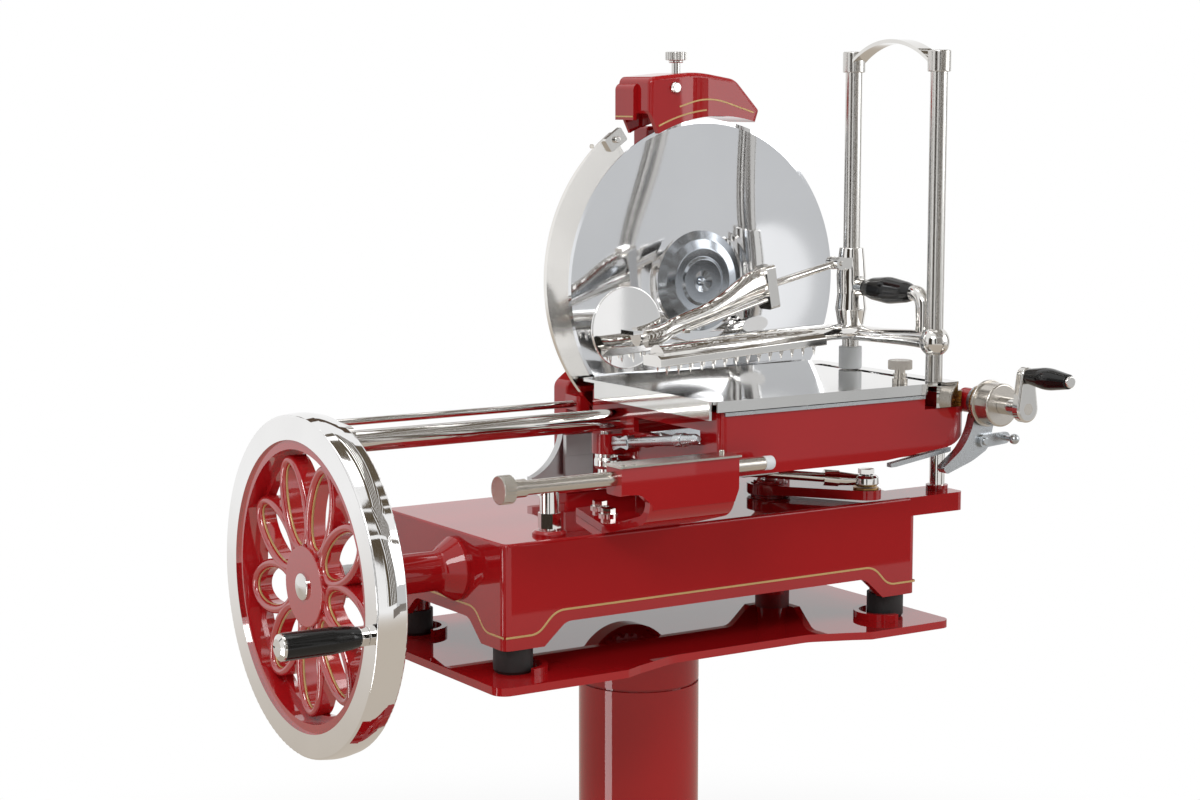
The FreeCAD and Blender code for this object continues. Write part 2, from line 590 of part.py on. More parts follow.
def thickness_rod():
    """Stop rod: slides in the bracket's head, with a spigot for its nylon tip."""
    length = 250 - (-22)
    return spin([(0, 0), (length + 8, 0), (length + 8, 4), (length, 4), (length, 7, 1), (0, 7, 1)],
                (-22, ROD_Y, ROD_Z), (1, 0, 0))


def thickness_tip():
    return spin([(0, 4), (8, 4), (8, 0), (12, 0), (12, 7, 3), (0, 7)], (250, ROD_Y, ROD_Z), (1, 0, 0))


def thickness_knob():
    """Knurled knob with a turned neck on the stop rod's outer end."""
    rim = knurled((-50, ROD_Y, ROD_Z), (1, 0, 0), 13.5, 13, 28)
    neck = bar((-37.5, ROD_Y, ROD_Z), (-22.2, ROD_Y, ROD_Z), 8.5)
    return fuse([rim, neck])


# ---- knife frame, blade and guard ---------------------------------------------------------
def knife_frame():
    """Cast frame behind the blade: legs over an arch, bearing boss, sharpener mast, rail arm."""
    shape = [(209, 0), (209, 118, 12), (252, 150, 60), (300, 196, 60), (312, 224), (312, 392, 4),
             (376, 392, 4), (404, 240, 30), (420, 196, 60), (456, 128, 60), (536, 104, 6),
             (536, 74, 8), (511, 62, 6), (511, 0), (487, 0), (487, 58, 28), (300, 58, 28), (300, 0)]
    frame = plate(shape, "y", FRAME_FRONT, FRAME_BACK)
    frame = round_edges(frame, 2, lambda edge: edge.BoundBox.YMax < FRAME_FRONT + 0.1 and edge.Length > 30)
    boss = cone((BLADE_X, 211, BLADE_Z), (BLADE_X, FRAME_FRONT + 1, BLADE_Z), 30, 38)
    arm = plate([(510, 104), (538, 104, 4), (538, FRAME_FRONT + 4), (510, FRAME_FRONT + 4)], "z", 78, 100)
    tie_lug = plate([(205, 193, 4), (222, 193, 4), (222, FRAME_FRONT + 2), (209, FRAME_FRONT + 2)],
                    "z", 92, 108)
    frame = fuse([frame, boss, arm, tie_lug])
    holes = [bar((500, RAIL_Y, RAIL_Z), (560, RAIL_Y, RAIL_Z), RAIL_RADIUS),
             bar((203, TIE_Y, TIE_Z), (212, TIE_Y, TIE_Z), TIE_RADIUS),
             bar((BLADE_X, 205, BLADE_Z), (BLADE_X, 250, BLADE_Z), 17)]
    for hole in holes:
        frame = frame.cut(hole)
    return frame


def frame_plates():
    """Polished plates low on the knife frame's left leg, and the gusset with a concave edge."""
    lower = plate([(205, 20), (240, 20), (240, 41), (205, 41)], "y", 218, FRAME_FRONT)
    upper = plate([(205, 41.5), (240, 41.5), (240, 64), (205, 64)], "y", 216, FRAME_FRONT)
    start, middle, end = Vec(170, 0, 20), Vec(193, 0, 36), Vec(207, 0, 66)
    edges = [Part.Arc(start, middle, end).toShape()]
    path = [end, Vec(208.8, 0, 66), Vec(208.8, 0, 12), Vec(168, 0, 12), Vec(168, 0, 20), start]
    for here, there in zip(path, path[1:]):
        edges.append(Part.LineSegment(here, there).toShape())
    fin = Part.Face(Part.Wire(edges)).extrude(Vec(0, 10, 0))
    fin.translate(Vec(0, 226, 0))
    return group([lower, upper, fin])


def blade():
    """Round blade: narrow land at the cutting edge, bevelled behind, dished to the hub."""
    rim = BLADE_RADIUS
    profile = [(0, rim - 0.2), (0, rim - 4), (8.6, 66, 60), (9, 58), (9, 12), (13.5, 12),
               (13.5, 62, 20), (5.5, 160, 10), (4.5, 166), (0.5, rim)]
    return spin(profile, (BLADE_X, BLADE_Y, BLADE_Z), (0, 1, 0))


def blade_hub():
    """Domed hub cover with a raised inner ring, round the central nut."""
    at = (BLADE_X, BLADE_Y, BLADE_Z)
    dome = spin([(8.95, 5), (4.4, 5), (1.6, 12), (1.2, 24, 1), (3.2, 27, 1), (2.8, 36, 6), (5.0, 46, 6),
                 (8.95, 55)], at, (0, 1, 0))
    nut = spin([(8.9, 0), (1.6, 0), (1.9, 3.4, 1), (4.3, 4.9), (8.9, 4.9)], at, (0, 1, 0))
    return group([dome, nut])


def sprocket(centre, radius, teeth, bore):
    """Chain wheel along Y with rounded teeth."""
    disc = ring(centre, (0, 1, 0), radius, bore, 6)
    gaps = []
    for i in range(teeth):
        angle = 2 * math.pi * i / teeth
        x = centre[0] + radius * math.cos(angle)
        z = centre[2] + radius * math.sin(angle)
        gaps.append(bar((x, centre[1] - 1, z), (x, centre[1] + 7, z), 0.32 * 2 * math.pi * radius / teeth))
    return disc.cut(Part.makeCompound(gaps))


def blade_shaft():
    """Blade shaft with the flange that the blade is bolted to, and its chain wheel."""
    shaft = bar((BLADE_X, BLADE_Y + 9, BLADE_Z), (BLADE_X, 266, BLADE_Z), BLADE_SHAFT_RADIUS)
    flange = bar((BLADE_X, BLADE_Y + 13.5, BLADE_Z), (BLADE_X, 210.6, BLADE_Z), 26)
    wheel = sprocket((BLADE_X, 254, BLADE_Z), 19, 10, BLADE_SHAFT_RADIUS)
    return group([fuse([shaft, flange]), wheel])


def cross_shaft():
    """Cross shaft from the second bevel pair out through the back wall to its chain wheel."""
    shaft = bar((CROSS_X, 111, SHAFT_Z), (CROSS_X, 266, SHAFT_Z), CROSS_SHAFT_RADIUS)
    gear = miter_gear((CROSS_X, SHAFT_Y, SHAFT_Z), (0, -1, 0), CROSS_SHAFT_RADIUS)
    wheel = sprocket((CROSS_X, 254, SHAFT_Z), 49, 26, CROSS_SHAFT_RADIUS)
    return group([shaft, gear, wheel])


def place_loop(low, high, grow):
    """The loop between the sprocket axes, as a solid with its thickness along Y."""
    span_x, span_z = BLADE_X - CROSS_X, BLADE_Z - SHAFT_Z
    length = math.hypot(span_x, span_z)
    loop = teardrop(49 + grow, 19 + grow, 0.0, length, low, high)
    matrix = FreeCAD.Matrix(0, span_x / length, span_z / length, CROSS_X,
                            1, 0, 0, 0,
                            0, span_z / length, -span_x / length, SHAFT_Z)
    loop.Placement = FreeCAD.Placement(matrix)
    return loop


def chain_case():
    """Rear cover of the chain drive, open towards the frame."""
    case = place_loop(248, 272, 12)
    case = round_edges(case, 5, lambda edge: edge.BoundBox.YMin > 271.5)
    return case.cut(place_loop(247, 268, 9))


def ring_guard():
    """Crescent guard beside the blade, eccentric so that it widens towards the left."""
    outer = bar((GUARD_X, BLADE_Y - 3, GUARD_Z), (GUARD_X, BLADE_Y + 3, GUARD_Z), GUARD_RADIUS)
    inner = bar((BLADE_X, BLADE_Y - 4, BLADE_Z), (BLADE_X, BLADE_Y + 4, BLADE_Z), BLADE_RADIUS + 1.5)
    sector = [(GUARD_X, GUARD_Z)]
    for degrees in (124, 160, 200, 236):
        angle = math.radians(degrees)
        sector.append((GUARD_X + 300 * math.cos(angle), GUARD_Z + 300 * math.sin(angle)))
    guard = outer.cut(inner).common(plate(sector, "y", BLADE_Y - 5, BLADE_Y + 5))
    stay = block((223, BLADE_Y + 2.9, 88), (238, FRAME_FRONT, 110))
    return fuse([guard, stay])


# ---- sharpener ----------------------------------------------------------------------------
def sharpener_cover():
    """Arched cover over the blade's top edge, with a lower box at its left, open below."""
    back = FRAME_FRONT - 0.2
    shape = [(276, 409), (276, 444, 8), (338, 450, 140), (388, 442, 22), (420, 409, 4), (411, 384),
             (288, 384)]

    def on_front_above_blade(edge):
        return edge.BoundBox.YMax < COVER_FRONT + 0.1 and edge.BoundBox.ZMin > 408

    shell = round_edges(plate(shape, "y", COVER_FRONT, back), 5, on_front_above_blade)
    side_box = plate([(271, 399), (271, 436, 7), (300, 443), (300, 399)], "y", 187, back)
    cover = fuse([shell, side_box])
    swept = bar((BLADE_X, 150, BLADE_Z), (BLADE_X, 230, BLADE_Z), BLADE_RADIUS + 4)
    cuts = [swept, block((STONE_X - 31, 172, 380), (STONE_X + 53, 214, 436)),
            block((275, 170, 380), (STONE_X - 30, back - 4, 406)),
            block((275, 192, 390), (STONE_X - 30, back - 4, 432)),
            bar((STONE_X, STONE_Y, 430), (STONE_X, STONE_Y, 455), 5.3),
            bar((308, 160, 433), (308, 173, 433), 6.05)]
    for cut in cuts:
        cover = cover.cut(cut)
    return cover


def sharpener_fittings():
    """Release pin in the cover's front, and the guard's upper clip with its screw."""
    pin = spin([(0, 0), (12, 0), (12, 6), (2, 6), (0, 5, 0.5)], (308, 159, 433), (0, 1, 0))
    angle = math.radians(125)
    x = GUARD_X + 179 * math.cos(angle)
    z = GUARD_Z + 179 * math.sin(angle)
    clip = plate([(-12, -8, 2), (12, -8, 2), (12, 8, 2), (-12, 8, 2)], "y", BLADE_Y - 8, BLADE_Y - 3)
    clip.rotate(Vec(0, 0, 0), Y_AXIS, -35)
    clip.translate(Vec(x, 0, z))
    screw = spin([(0, 0), (4, 0), (4, 3.5, 1), (0, 3.5)], (x, BLADE_Y - 8, z), (0, -1, 0))
    return group([pin, clip, screw])


def sharpener_press():
    """Knurled press knob on its collared stem, with the yoke that carries the stones."""
    rim = knurled((STONE_X, STONE_Y, 462), (0, 0, 1), 11.5, 9, 24)
    stem = bar((STONE_X, STONE_Y, 420), (STONE_X, STONE_Y, 463), 4.8)
    collar = spin([(0, 0), (3, 0), (3, 8, 1), (0, 8, 1)], (STONE_X, STONE_Y, 459.2), (0, 0, 1))
    beam = block((STONE_X - 18, 191, 418), (STONE_X + 18, 199, 421))
    legs = [block((STONE_X - 15, 191.2, 406), (STONE_X - 9, 193.4, 421)),
            block((STONE_X + 9, 196.6, 406), (STONE_X + 15, 198.8, 421))]
    axles = [bar((STONE_X - 12, 184, 411), (STONE_X - 12, 192, 411), 3),
             bar((STONE_X + 12, 198, 411), (STONE_X + 12, 206, 411), 3)]
    return fuse([rim, stem, collar, beam] + legs + axles)


def sharpener_stones():
    """Grinding and honing stones on the yoke's axles."""
    return group([ring((STONE_X - 12, 184.5, 411), (0, 1, 0), 9, 3, 6),
                  ring((STONE_X + 12, 199.5, 411), (0, 1, 0), 9, 3, 6)])


# ---- carriage -----------------------------------------------------------------------------
def carriage_body():
    """Cast shell open below: walls, deck, rail tube, screw bearings and the rod's pivot boss."""
    wall = 6.0
    left, right, front = CARRIAGE_LEFT, CARRIAGE_RIGHT, CARRIAGE_FRONT
    skirt = [(left, front, 7), (right, front, 24), (right, 100), (right - wall, 100),
             (right - wall, front + wall, 18), (left + wall, front + wall, 2), (left + wall, 174),
             (left, 174)]
    shell = plate(skirt, "z", CARRIAGE_BOTTOM, CARRIAGE_TOP)
    sweep = [(left - 1, CARRIAGE_BOTTOM), (420, CARRIAGE_BOTTOM, 60), (507, 62, 40), (right + 1, 78),
             (right + 1, CARRIAGE_TOP), (left - 1, CARRIAGE_TOP)]
    shell = shell.common(plate(sweep, "y", front - 1, 175))
    deck = [block((left + 1, front + 1, DECK_BOTTOM), (474, 174, CARRIAGE_TOP)),
            block((521, front + 12, DECK_BOTTOM), (right - 1, 14, CARRIAGE_TOP))]
    tube = bar((left + 2, RAIL_Y, RAIL_Z), (480, RAIL_Y, RAIL_Z), 17)
    webs = [block((225, RAIL_Y - 4, RAIL_Z), (470, RAIL_Y + 4, DECK_BOTTOM + 1)),
            block((300, 15, CARRIAGE_BOTTOM), (325, 37, DECK_BOTTOM + 1)),
            block((468, front + 1, 98), (474, 174, DECK_BOTTOM + 1))]
    boss_shape = [(185, RAIL_Y - 5, 12), (226, RAIL_Y - 5), (226, RAIL_Y + 28), (185, RAIL_Y + 22, 13)]
    boss = plate(boss_shape, "z", 57, 78)
    bearings = [bar((SCREW_X, front + 0.5, SCREW_Z), (SCREW_X, -40, SCREW_Z), 13),
                bar((SCREW_X, 91, SCREW_Z), (SCREW_X, 100, SCREW_Z), 11)]
    body = fuse([shell, tube, boss] + deck + webs + bearings)
    cuts = [block((471, front - 2, 103), (518.5, -30, CARRIAGE_TOP + 1)),
            block((right - 13, 14, 97), (right + 1, 90.5, CARRIAGE_TOP + 1)),
            block((left - 1, -22, 82), (left + wall + 1, 96, 97)),
            bar((left - 1, RAIL_Y, RAIL_Z), (481, RAIL_Y, RAIL_Z), RAIL_RADIUS + RUNNING_GAP),
            bar((SCREW_X, front - 1, SCREW_Z), (SCREW_X, 101, SCREW_Z), 6 + RUNNING_GAP),
            bar(ROD_PIVOT + (50,), ROD_PIVOT + (79,), 6)]
    for cut in cuts:
        body = body.cut(cut)
    return body


def carriage_fittings():
    """Plated steel pieces on the shell: front shoe, screw flange, lever rest and top strip."""
    shoe = plate([(12, 38, 2), (40, 38, 2), (40, 54), (12, 54)], "x", 290, 335)
    shoe = shoe.cut(bar((289, FRONT_RAIL_Y, FRONT_RAIL_Z), (336, FRONT_RAIL_Y, FRONT_RAIL_Z),
                        FRONT_RAIL_RADIUS + RUNNING_GAP))
    flange = ring((SCREW_X, -60, SCREW_Z), (0, 1, 0), 14, 6 + RUNNING_GAP, 3.4)
    rest = plate([(428, 46), (434, 46), (508, 56.5), (508, 61), (428, 50)], "y", -56, -49)
    strip = block((216, -59, 114.5), (470, -57, 118))
    return group([shoe, flange, rest, strip])


def carriage_table():
    """Mirror-polished table: thin sheet with turned-down edges, a slot for the posts, and feet."""
    corners = [(TABLE_LEFT, TABLE_FRONT, 6), (TABLE_RIGHT, TABLE_FRONT, 4),
               (TABLE_RIGHT, TABLE_BACK, 8), (TABLE_LEFT, TABLE_BACK, 8)]
    sheet = plate(corners, "z", TABLE_TOP - 3, TABLE_TOP)
    front_band = block((TABLE_LEFT + 6, TABLE_FRONT, 119),
                       (TABLE_RIGHT - 4, TABLE_FRONT + 2.5, TABLE_TOP - 2))
    left_band = block((TABLE_LEFT, TABLE_FRONT + 6, 111), (TABLE_LEFT + 3, 153, TABLE_TOP - 2))
    right_band = block((TABLE_RIGHT - 2.5, TABLE_FRONT + 4, 121), (TABLE_RIGHT, 153, TABLE_TOP - 2))
    feet = [block((x, y, CARRIAGE_TOP), (x + 30, y + 24, TABLE_TOP - 2))
            for x in (226, 430) for y in (-46, 60, 144)]
    table = fuse([sheet, front_band, left_band, right_band] + feet)
    slot = [(484, TABLE_FRONT - 1), (496, TABLE_FRONT - 1), (496, 149, 5.9), (484, 149, 5.9)]
    table = table.cut(plate(slot, "z", TABLE_TOP - 4, TABLE_TOP + 1))
    gate = block((472, TABLE_FRONT - 1, 110), (TABLE_RIGHT + 1, TABLE_FRONT + 4, TABLE_TOP - 3))
    stem = bar((447, -45, TABLE_TOP - 4), (447, -45, TABLE_TOP + 1), 4 + RUNNING_GAP)
    return table.cut(gate).cut(stem)


def table_knob():
    """Knurled clamping knob with a grooved neck."""
    at = (447, -45, TABLE_TOP)
    neck = spin([(-2.9, 0), (16, 0), (16, 5.5), (11, 5.5), (11, 7), (8, 7), (8, 6), (6, 6), (6, 8),
                 (0.3, 8), (0.3, 4), (-2.9, 4)], at, (0, 0, 1))
    head = knurled((447, -45, TABLE_TOP + 15.5), (0, 0, 1), 12.5, 9.5, 34)
    return fuse([neck, head])


def feed_link():
    """Pull link beside the left wall: waisted end, rod, collar and nose, rising to the front."""
    low, high = Vec(LINK_X, 112, 69), Vec(LINK_X, -37, 91)
    run = high - low
    profile = [(0, 0), (0, 5.5, 1), (28, 5.5), (28, 4.5), (100, 5.6), (112, 5.6), (112, 7, 1), (126, 7, 1),
               (126, 6), (run.Length - 6, 5.5, 4), (run.Length, 3, 1), (run.Length, 0)]
    rod = spin(profile, tuple(low), tuple(run))
    waist = plate([(112, -8, 3), (112, 8, 3), (97, 4.5, 3), (82, 8, 3), (82, -8, 3), (97, -4.5, 3)],
                  "x", -4.5, 4.5)
    waist.translate(Vec(0, -97, 0))
    waist.rotate(Vec(0, 0, 0), X_AXIS, -math.degrees(math.atan2(high.z - low.z, low.y - high.y)))
    waist.translate(low + run * (15 / run.Length))
    tongue = block((LINK_X + 2, -2, 82.3), (224, 8, 88))
    return fuse([rod, waist, tongue])


# ---- clamp feed ---------------------------------------------------------------------------
def feed_shaft():
    """Plain ends of the feed screw with the drum in front of the ratchet wheel."""
    thread_low, thread_high = -38, 89
    pitch, crest, root = 4.0, 6.0, 5.0
    profile = [(-136, 0), (100.3, 0), (100.3, crest)]
    along = thread_high
    while along - pitch > thread_low:
        profile += [(along, crest), (along - 1, root), (along - 2, root), (along - 3, crest)]
        along -= pitch
    profile += [(-136, crest)]
    screw = spin(profile, (SCREW_X, 0, SCREW_Z), (0, 1, 0))
    drum = spin([(-98, 6), (-74.8, 6), (-74.8, 24.5, 0.8), (-78, 24.5, 0.8), (-78, 22.5), (-95, 22.5),
                 (-98, 22.5, 2)], (SCREW_X, 0, SCREW_Z), (0, 1, 0))
    return group([screw, drum])


def ratchet_gear():
    """Fine-toothed ratchet wheel: every tooth has one steep and one sloping flank."""
    teeth, outer, inner = 40, 20.0, 18.2
    corners = []
    for i in range(teeth):
        steep = 2 * math.pi * i / teeth
        slope = steep + 2 * math.pi * 0.82 / teeth
        corners.append((outer * math.cos(steep), outer * math.sin(steep)))
        corners.append((inner * math.cos(slope), inner * math.sin(slope)))
    wheel = plate(corners, "y", -74.6, -66.6)
    wheel.translate(Vec(SCREW_X, 0, SCREW_Z))
    return wheel.cut(bar((SCREW_X, -76, SCREW_Z), (SCREW_X, -66, SCREW_Z), 6))


def feed_crank():
    """Crank arm of the feed: broad teardrop hub leaning out to the grip's spindle."""
    hub = teardrop(14, 9, 0, FEED_THROW, 0, 9)
    hub.rotate(Vec(0, 0, 0), X_AXIS, 90)
    hub.rotate(Vec(0, 0, 0), Z_AXIS, 90)
    hub = round_edges(hub, 2.5, lambda edge: edge.BoundBox.YMin > 8.9)
    hub.rotate(Vec(0, 0, 0), Z_AXIS, 180)
    hub.translate(Vec(SCREW_X, -127, SCREW_Z))
    neck = bar((SCREW_X, -98.3, SCREW_Z), (SCREW_X, -130, SCREW_Z), 9)
    spindle = bar((SCREW_X, -130, SCREW_Z + FEED_THROW), (SCREW_X, -194, SCREW_Z + FEED_THROW), 4)
    stop = spin([(0, 0), (3, 0), (3, 6, 1), (0, 6)], (SCREW_X, -194, SCREW_Z + FEED_THROW), (0, -1, 0))
    body = fuse([hub, neck, spindle, stop])
    return body.cut(bar((SCREW_X, -98, SCREW_Z), (SCREW_X, -136, SCREW_Z), 6))


def feed_grip():
    """Black barrel grip that turns on the feed crank's spindle."""
    bore = 4 + RUNNING_GAP
    profile = [(0, bore), (57, bore), (57, 8, 1), (30, 12, 60), (0, 7.5, 1)]
    return spin(profile, (SCREW_X, -193.7, SCREW_Z + FEED_THROW), (0, 1, 0))


def ratchet_lever():
    """Curved cast lever hung on the screw, and its pawl link with a ball-headed pin."""
    shape = [(SCREW_X - 14, 98, 6), (522, 76, 60), (508, 59, 40), (484, 42, 3), (490, 36, 3), (524, 47, 60),
             (545, 58, 12), (552, 82, 10), (SCREW_X + 12, 96, 4)]
    lever = plate(shape, "y", -72, -60.4)
    hub = bar((SCREW_X, -66.2, SCREW_Z), (SCREW_X, -60.4, SCREW_Z), 17)
    lever = fuse([lever, hub])
    lever = lever.cut(bar((SCREW_X, -73, SCREW_Z), (SCREW_X, -66.2, SCREW_Z), 21.5))
    lever = lever.cut(bar((SCREW_X, -73, SCREW_Z), (SCREW_X, -60, SCREW_Z), 6 + RUNNING_GAP))
    link = plate([(531, 60, 6), (531, 74, 6), (572, 75, 6), (572, 63, 6)], "y", -76, -72.2)
    screw = spin([(0, 0), (7, 0), (7, 4.2, 1), (0, 4.2)], (538, -71, 67), (0, -1, 0))
    ball_pin = fuse([bar((565, -90, 69), (565, -74, 69), 3), ball((565, -90, 69), 5.5)])
    return group([lever, fuse([link, screw.cut(block((530, -72.2, 60), (546, -70, 74))), ball_pin])])


# ---- cross slide and clamp ----------------------------------------------------------------
def cross_slide():
    """Slide under the table with its polished front block, back block and the screw nut."""
    bed = block((484, -60, 107), (516, 120, 120))
    blocks = [block((484, -60, 104), (518, -34, 120.5)), block((484, -60, 119), (513, -34, 126.5)),
              block((484, 76, 107), (513, 104, 126.5))]
    bridge = block((515, 22, 98.5), (534, 42, 111))
    nut = bar((SCREW_X, 22, SCREW_Z), (SCREW_X, 42, SCREW_Z), 10)
    slide = fuse([bed, bridge, nut] + blocks)
    return slide.cut(bar((SCREW_X, 21, SCREW_Z), (SCREW_X, 43, SCREW_Z), 6 + RUNNING_GAP))


def guide_posts():
    """Two polished posts, each with a thin neck through the table's slot and a domed cap."""
    posts = []
    for y in (POST_FRONT_Y, POST_BACK_Y):
        cap_low = POST_TOP - CAP_HEIGHT
        profile = [(126.5, 0), (POST_TOP, 0), (POST_TOP, CAP_RADIUS, 1.5), (cap_low, CAP_RADIUS, 1),
                   (cap_low, POST_RADIUS), (TABLE_TOP + 0.5, POST_RADIUS), (TABLE_TOP + 0.5, 5),
                   (126.5, 5)]
        posts.append(spin(profile, (POST_X, y, 0), (0, 0, 1)))
    return group(posts)


def post_handle():
    """Bent strap between the caps of the posts, arched above them."""
    low, thick = POST_TOP - 15, 4
    inner = [Vec(0, POST_BACK_Y - 4, low), Vec(0, 0.5 * (POST_BACK_Y + POST_FRONT_Y), POST_TOP + 8),
             Vec(0, POST_FRONT_Y + 4, low)]
    outer = [point + Vec(0, 0, thick) for point in inner]
    edges = [Part.Arc(*inner).toShape(), Part.LineSegment(inner[2], outer[2]).toShape(),
             Part.Arc(outer[2], outer[1], outer[0]).toShape(),
             Part.LineSegment(outer[0], inner[0]).toShape()]
    handle = Part.Face(Part.Wire(edges)).extrude(Vec(18, 0, 0))
    handle.translate(Vec(POST_X - 9, 0, 0))
    for y in (POST_FRONT_Y, POST_BACK_Y):
        handle = handle.cut(bar((POST_X, y, low - 10), (POST_X, y, POST_TOP + 1), CAP_RADIUS))
    return handle


def post_collar():
    """White nylon stop collar on the back post."""
    profile = [(0, POST_RADIUS), (24, POST_RADIUS), (24, 12.5, 1), (0, 12.5, 1)]
    return spin(profile, (POST_X, POST_BACK_Y, TABLE_TOP + 1), (0, 0, 1))


def oval(centre, direction, half_width, half_height):
    """Elliptic section normal to a direction, its width lying level."""
    along = Vec(*direction).normalize()
    level = Z_AXIS.cross(along)
    side = level.normalize() if level.Length > 0.01 else X_AXIS
    up = along.cross(side)
    points = []
    for i in range(12):
        angle = 2 * math.pi * i / 12
        across, rise = half_width * math.cos(angle), half_height * math.sin(angle)
        points.append(Vec(*centre) + side * across + up * rise)
    curve = Part.BSplineCurve()
    curve.interpolate(points, PeriodicFlag=True)
    return Part.Wire([curve.toShape()])


def limb(stations):
    """Loft through (centre, half width, half height) stations, sections normal to the run."""
    wires = []
    for i, (centre, half_width, half_height) in enumerate(stations):
        before = Vec(*stations[max(i - 1, 0)][0])
        after = Vec(*stations[min(i + 1, len(stations) - 1)][0])
        wires.append(oval(centre, tuple(after - before), half_width, half_height))
    return Part.makeLoft(wires, True, False)


def clamp_arm():
    """Forged arm: from the front post across to the back post, then forward left to the plate."""
    across = limb([((POST_X, POST_FRONT_Y - 4, ARM_Z), 12, 10), ((488, -16, 173), 11, 9),
                   ((487, 24, 172), 15, 8), ((488, 66, 171), 20, 8), ((POST_X, 106, 171), 16, 8)])
    reach = limb([((500, 88, 171), 14, 7), ((466, 74, 173), 20, 8), ((425, 58, 176), 25, 9),
                  ((380, 46, 176), 23, 10), ((330, 38, 175), 19, 10), ((280, 33, 173), 16, 10),
                  ((230, 31, 170), 14, 10), ((196, 30, 167), 12, 11)])
    pad = bar((POST_X, ELBOW_Y, ARM_Z), (POST_X, ELBOW_Y, ELBOW_FOOT_Z), 8)
    arm = fuse([across, reach, pad, ball((POST_X, POST_FRONT_Y, ARM_Z), 16)])
    for y in (POST_FRONT_Y, POST_BACK_Y):
        arm = arm.cut(bar((POST_X, y, 140), (POST_X, y, 200), POST_RADIUS + RUNNING_GAP))
    return arm.cut(placed_on_plate(pressure_bar(-30)))


def clamp_bracket():
    """Waisted sleeve on the back post with ribs and a lug for the press strut."""
    sleeve = spin([(179, 0), (262, 0), (262, 13, 1), (254, 14, 2), (232, 16, 10), (212, 15, 10),
                   (196, 17, 10), (179, 14)], (POST_X, POST_BACK_Y, 0), (0, 0, 1))
    boss = bar((POST_X, POST_BACK_Y - 12, GRIP_Z), (POST_X, 63.8, GRIP_Z), 9)
    rib = plate([(72, 220), (80, 232, 6), (90, 252), (96, 252), (96, 184), (88, 184), (80, 208, 8)],
                "x", POST_X - 4, POST_X + 4)
    lug_x = POST_X - LUG_REACH
    fork = []
    for low in (POST_BACK_Y - 12, POST_BACK_Y + 3):
        fork.append(bar((lug_x, low, PRESS_HINGE_Z), (lug_x, low + 5, PRESS_HINGE_Z), 7))
        fork.append(block((lug_x, low, PRESS_HINGE_Z - 6), (POST_X - 5, low + 5, PRESS_HINGE_Z + 6)))
    pin = bar((lug_x, POST_BACK_Y - 14, PRESS_HINGE_Z), (lug_x, POST_BACK_Y + 10, PRESS_HINGE_Z), 2.5)
    bracket = fuse([sleeve, boss, rib, pin] + fork)
    bore = bar((POST_X, POST_BACK_Y, 170), (POST_X, POST_BACK_Y, 270), POST_RADIUS + RUNNING_GAP)
    return bracket.cut(bore)


def clamp_grip():
    """Black barrel-shaped hand grip between the bracket and the elbow."""
    profile = [(0, 4), (77, 4), (77, 8, 1), (66, 11, 20), (38, 14.5, 50), (12, 12, 30), (0, 8.5, 1)]
    return spin(profile, (POST_X, 63.5, GRIP_Z), (0, -1, 0))


def clamp_elbow():
    """Chrome elbow through the grip and down onto the arm's pad beside the front post."""
    bend_y = ELBOW_Y + ELBOW_BEND
    bend_z = GRIP_Z - ELBOW_BEND
    core = bar((POST_X, 63.8, GRIP_Z), (POST_X, bend_y + 1, GRIP_Z), 3.95)
    collar = bar((POST_X, -13.6, GRIP_Z), (POST_X, bend_y, GRIP_Z), ELBOW_RADIUS)
    circle = Part.makeCircle(ELBOW_RADIUS, Vec(POST_X, bend_y, GRIP_Z), Y_AXIS)
    bend = Part.Face(Part.Wire(circle)).revolve(Vec(POST_X, bend_y, bend_z), X_AXIS, 90)
    stem = cone((POST_X, ELBOW_Y, ELBOW_FOOT_Z + 0.02), (POST_X, ELBOW_Y, bend_z), 7.5, ELBOW_RADIUS)
    return fuse([core, collar, bend, stem])


def pressure_bar(low):
    """Flat-sided bar of the pressure plate, lying along +X, from a given underside up."""
    section = [(-16, low, 1), (16, low, 1), (16, 8, 1.5), (10, 11.5, 2), (-10, 11.5, 2), (-16, 8, 1.5)]
    return plate(section, "x", 0, PLATE_LENGTH)


def placed_on_plate(shape):
    """Tilt and move a shape drawn along +X to where the pressure plate sits."""
    shape.rotate(Vec(0, 0, 0), Y_AXIS, -math.degrees(math.atan2(PLATE_RISE, PLATE_LENGTH)))
    shape.translate(Vec(190, 30, 157))
    return shape


def spike_plate():
    """Long pressure plate under the arm, with two rows of spikes."""
    spikes = []
    for row in (-11, 11):
        for i in range(14):
            x = 10 + i * 14.2 + (4 if row > 0 else 0)
            spikes.append(spin([(1, 0), (1, 1.6), (-4, 1.6), (-9, 0.2), (-9, 0)], (x, row, 0), (0, 0, 1)))
    return placed_on_plate(fuse([pressure_bar(0)] + spikes))


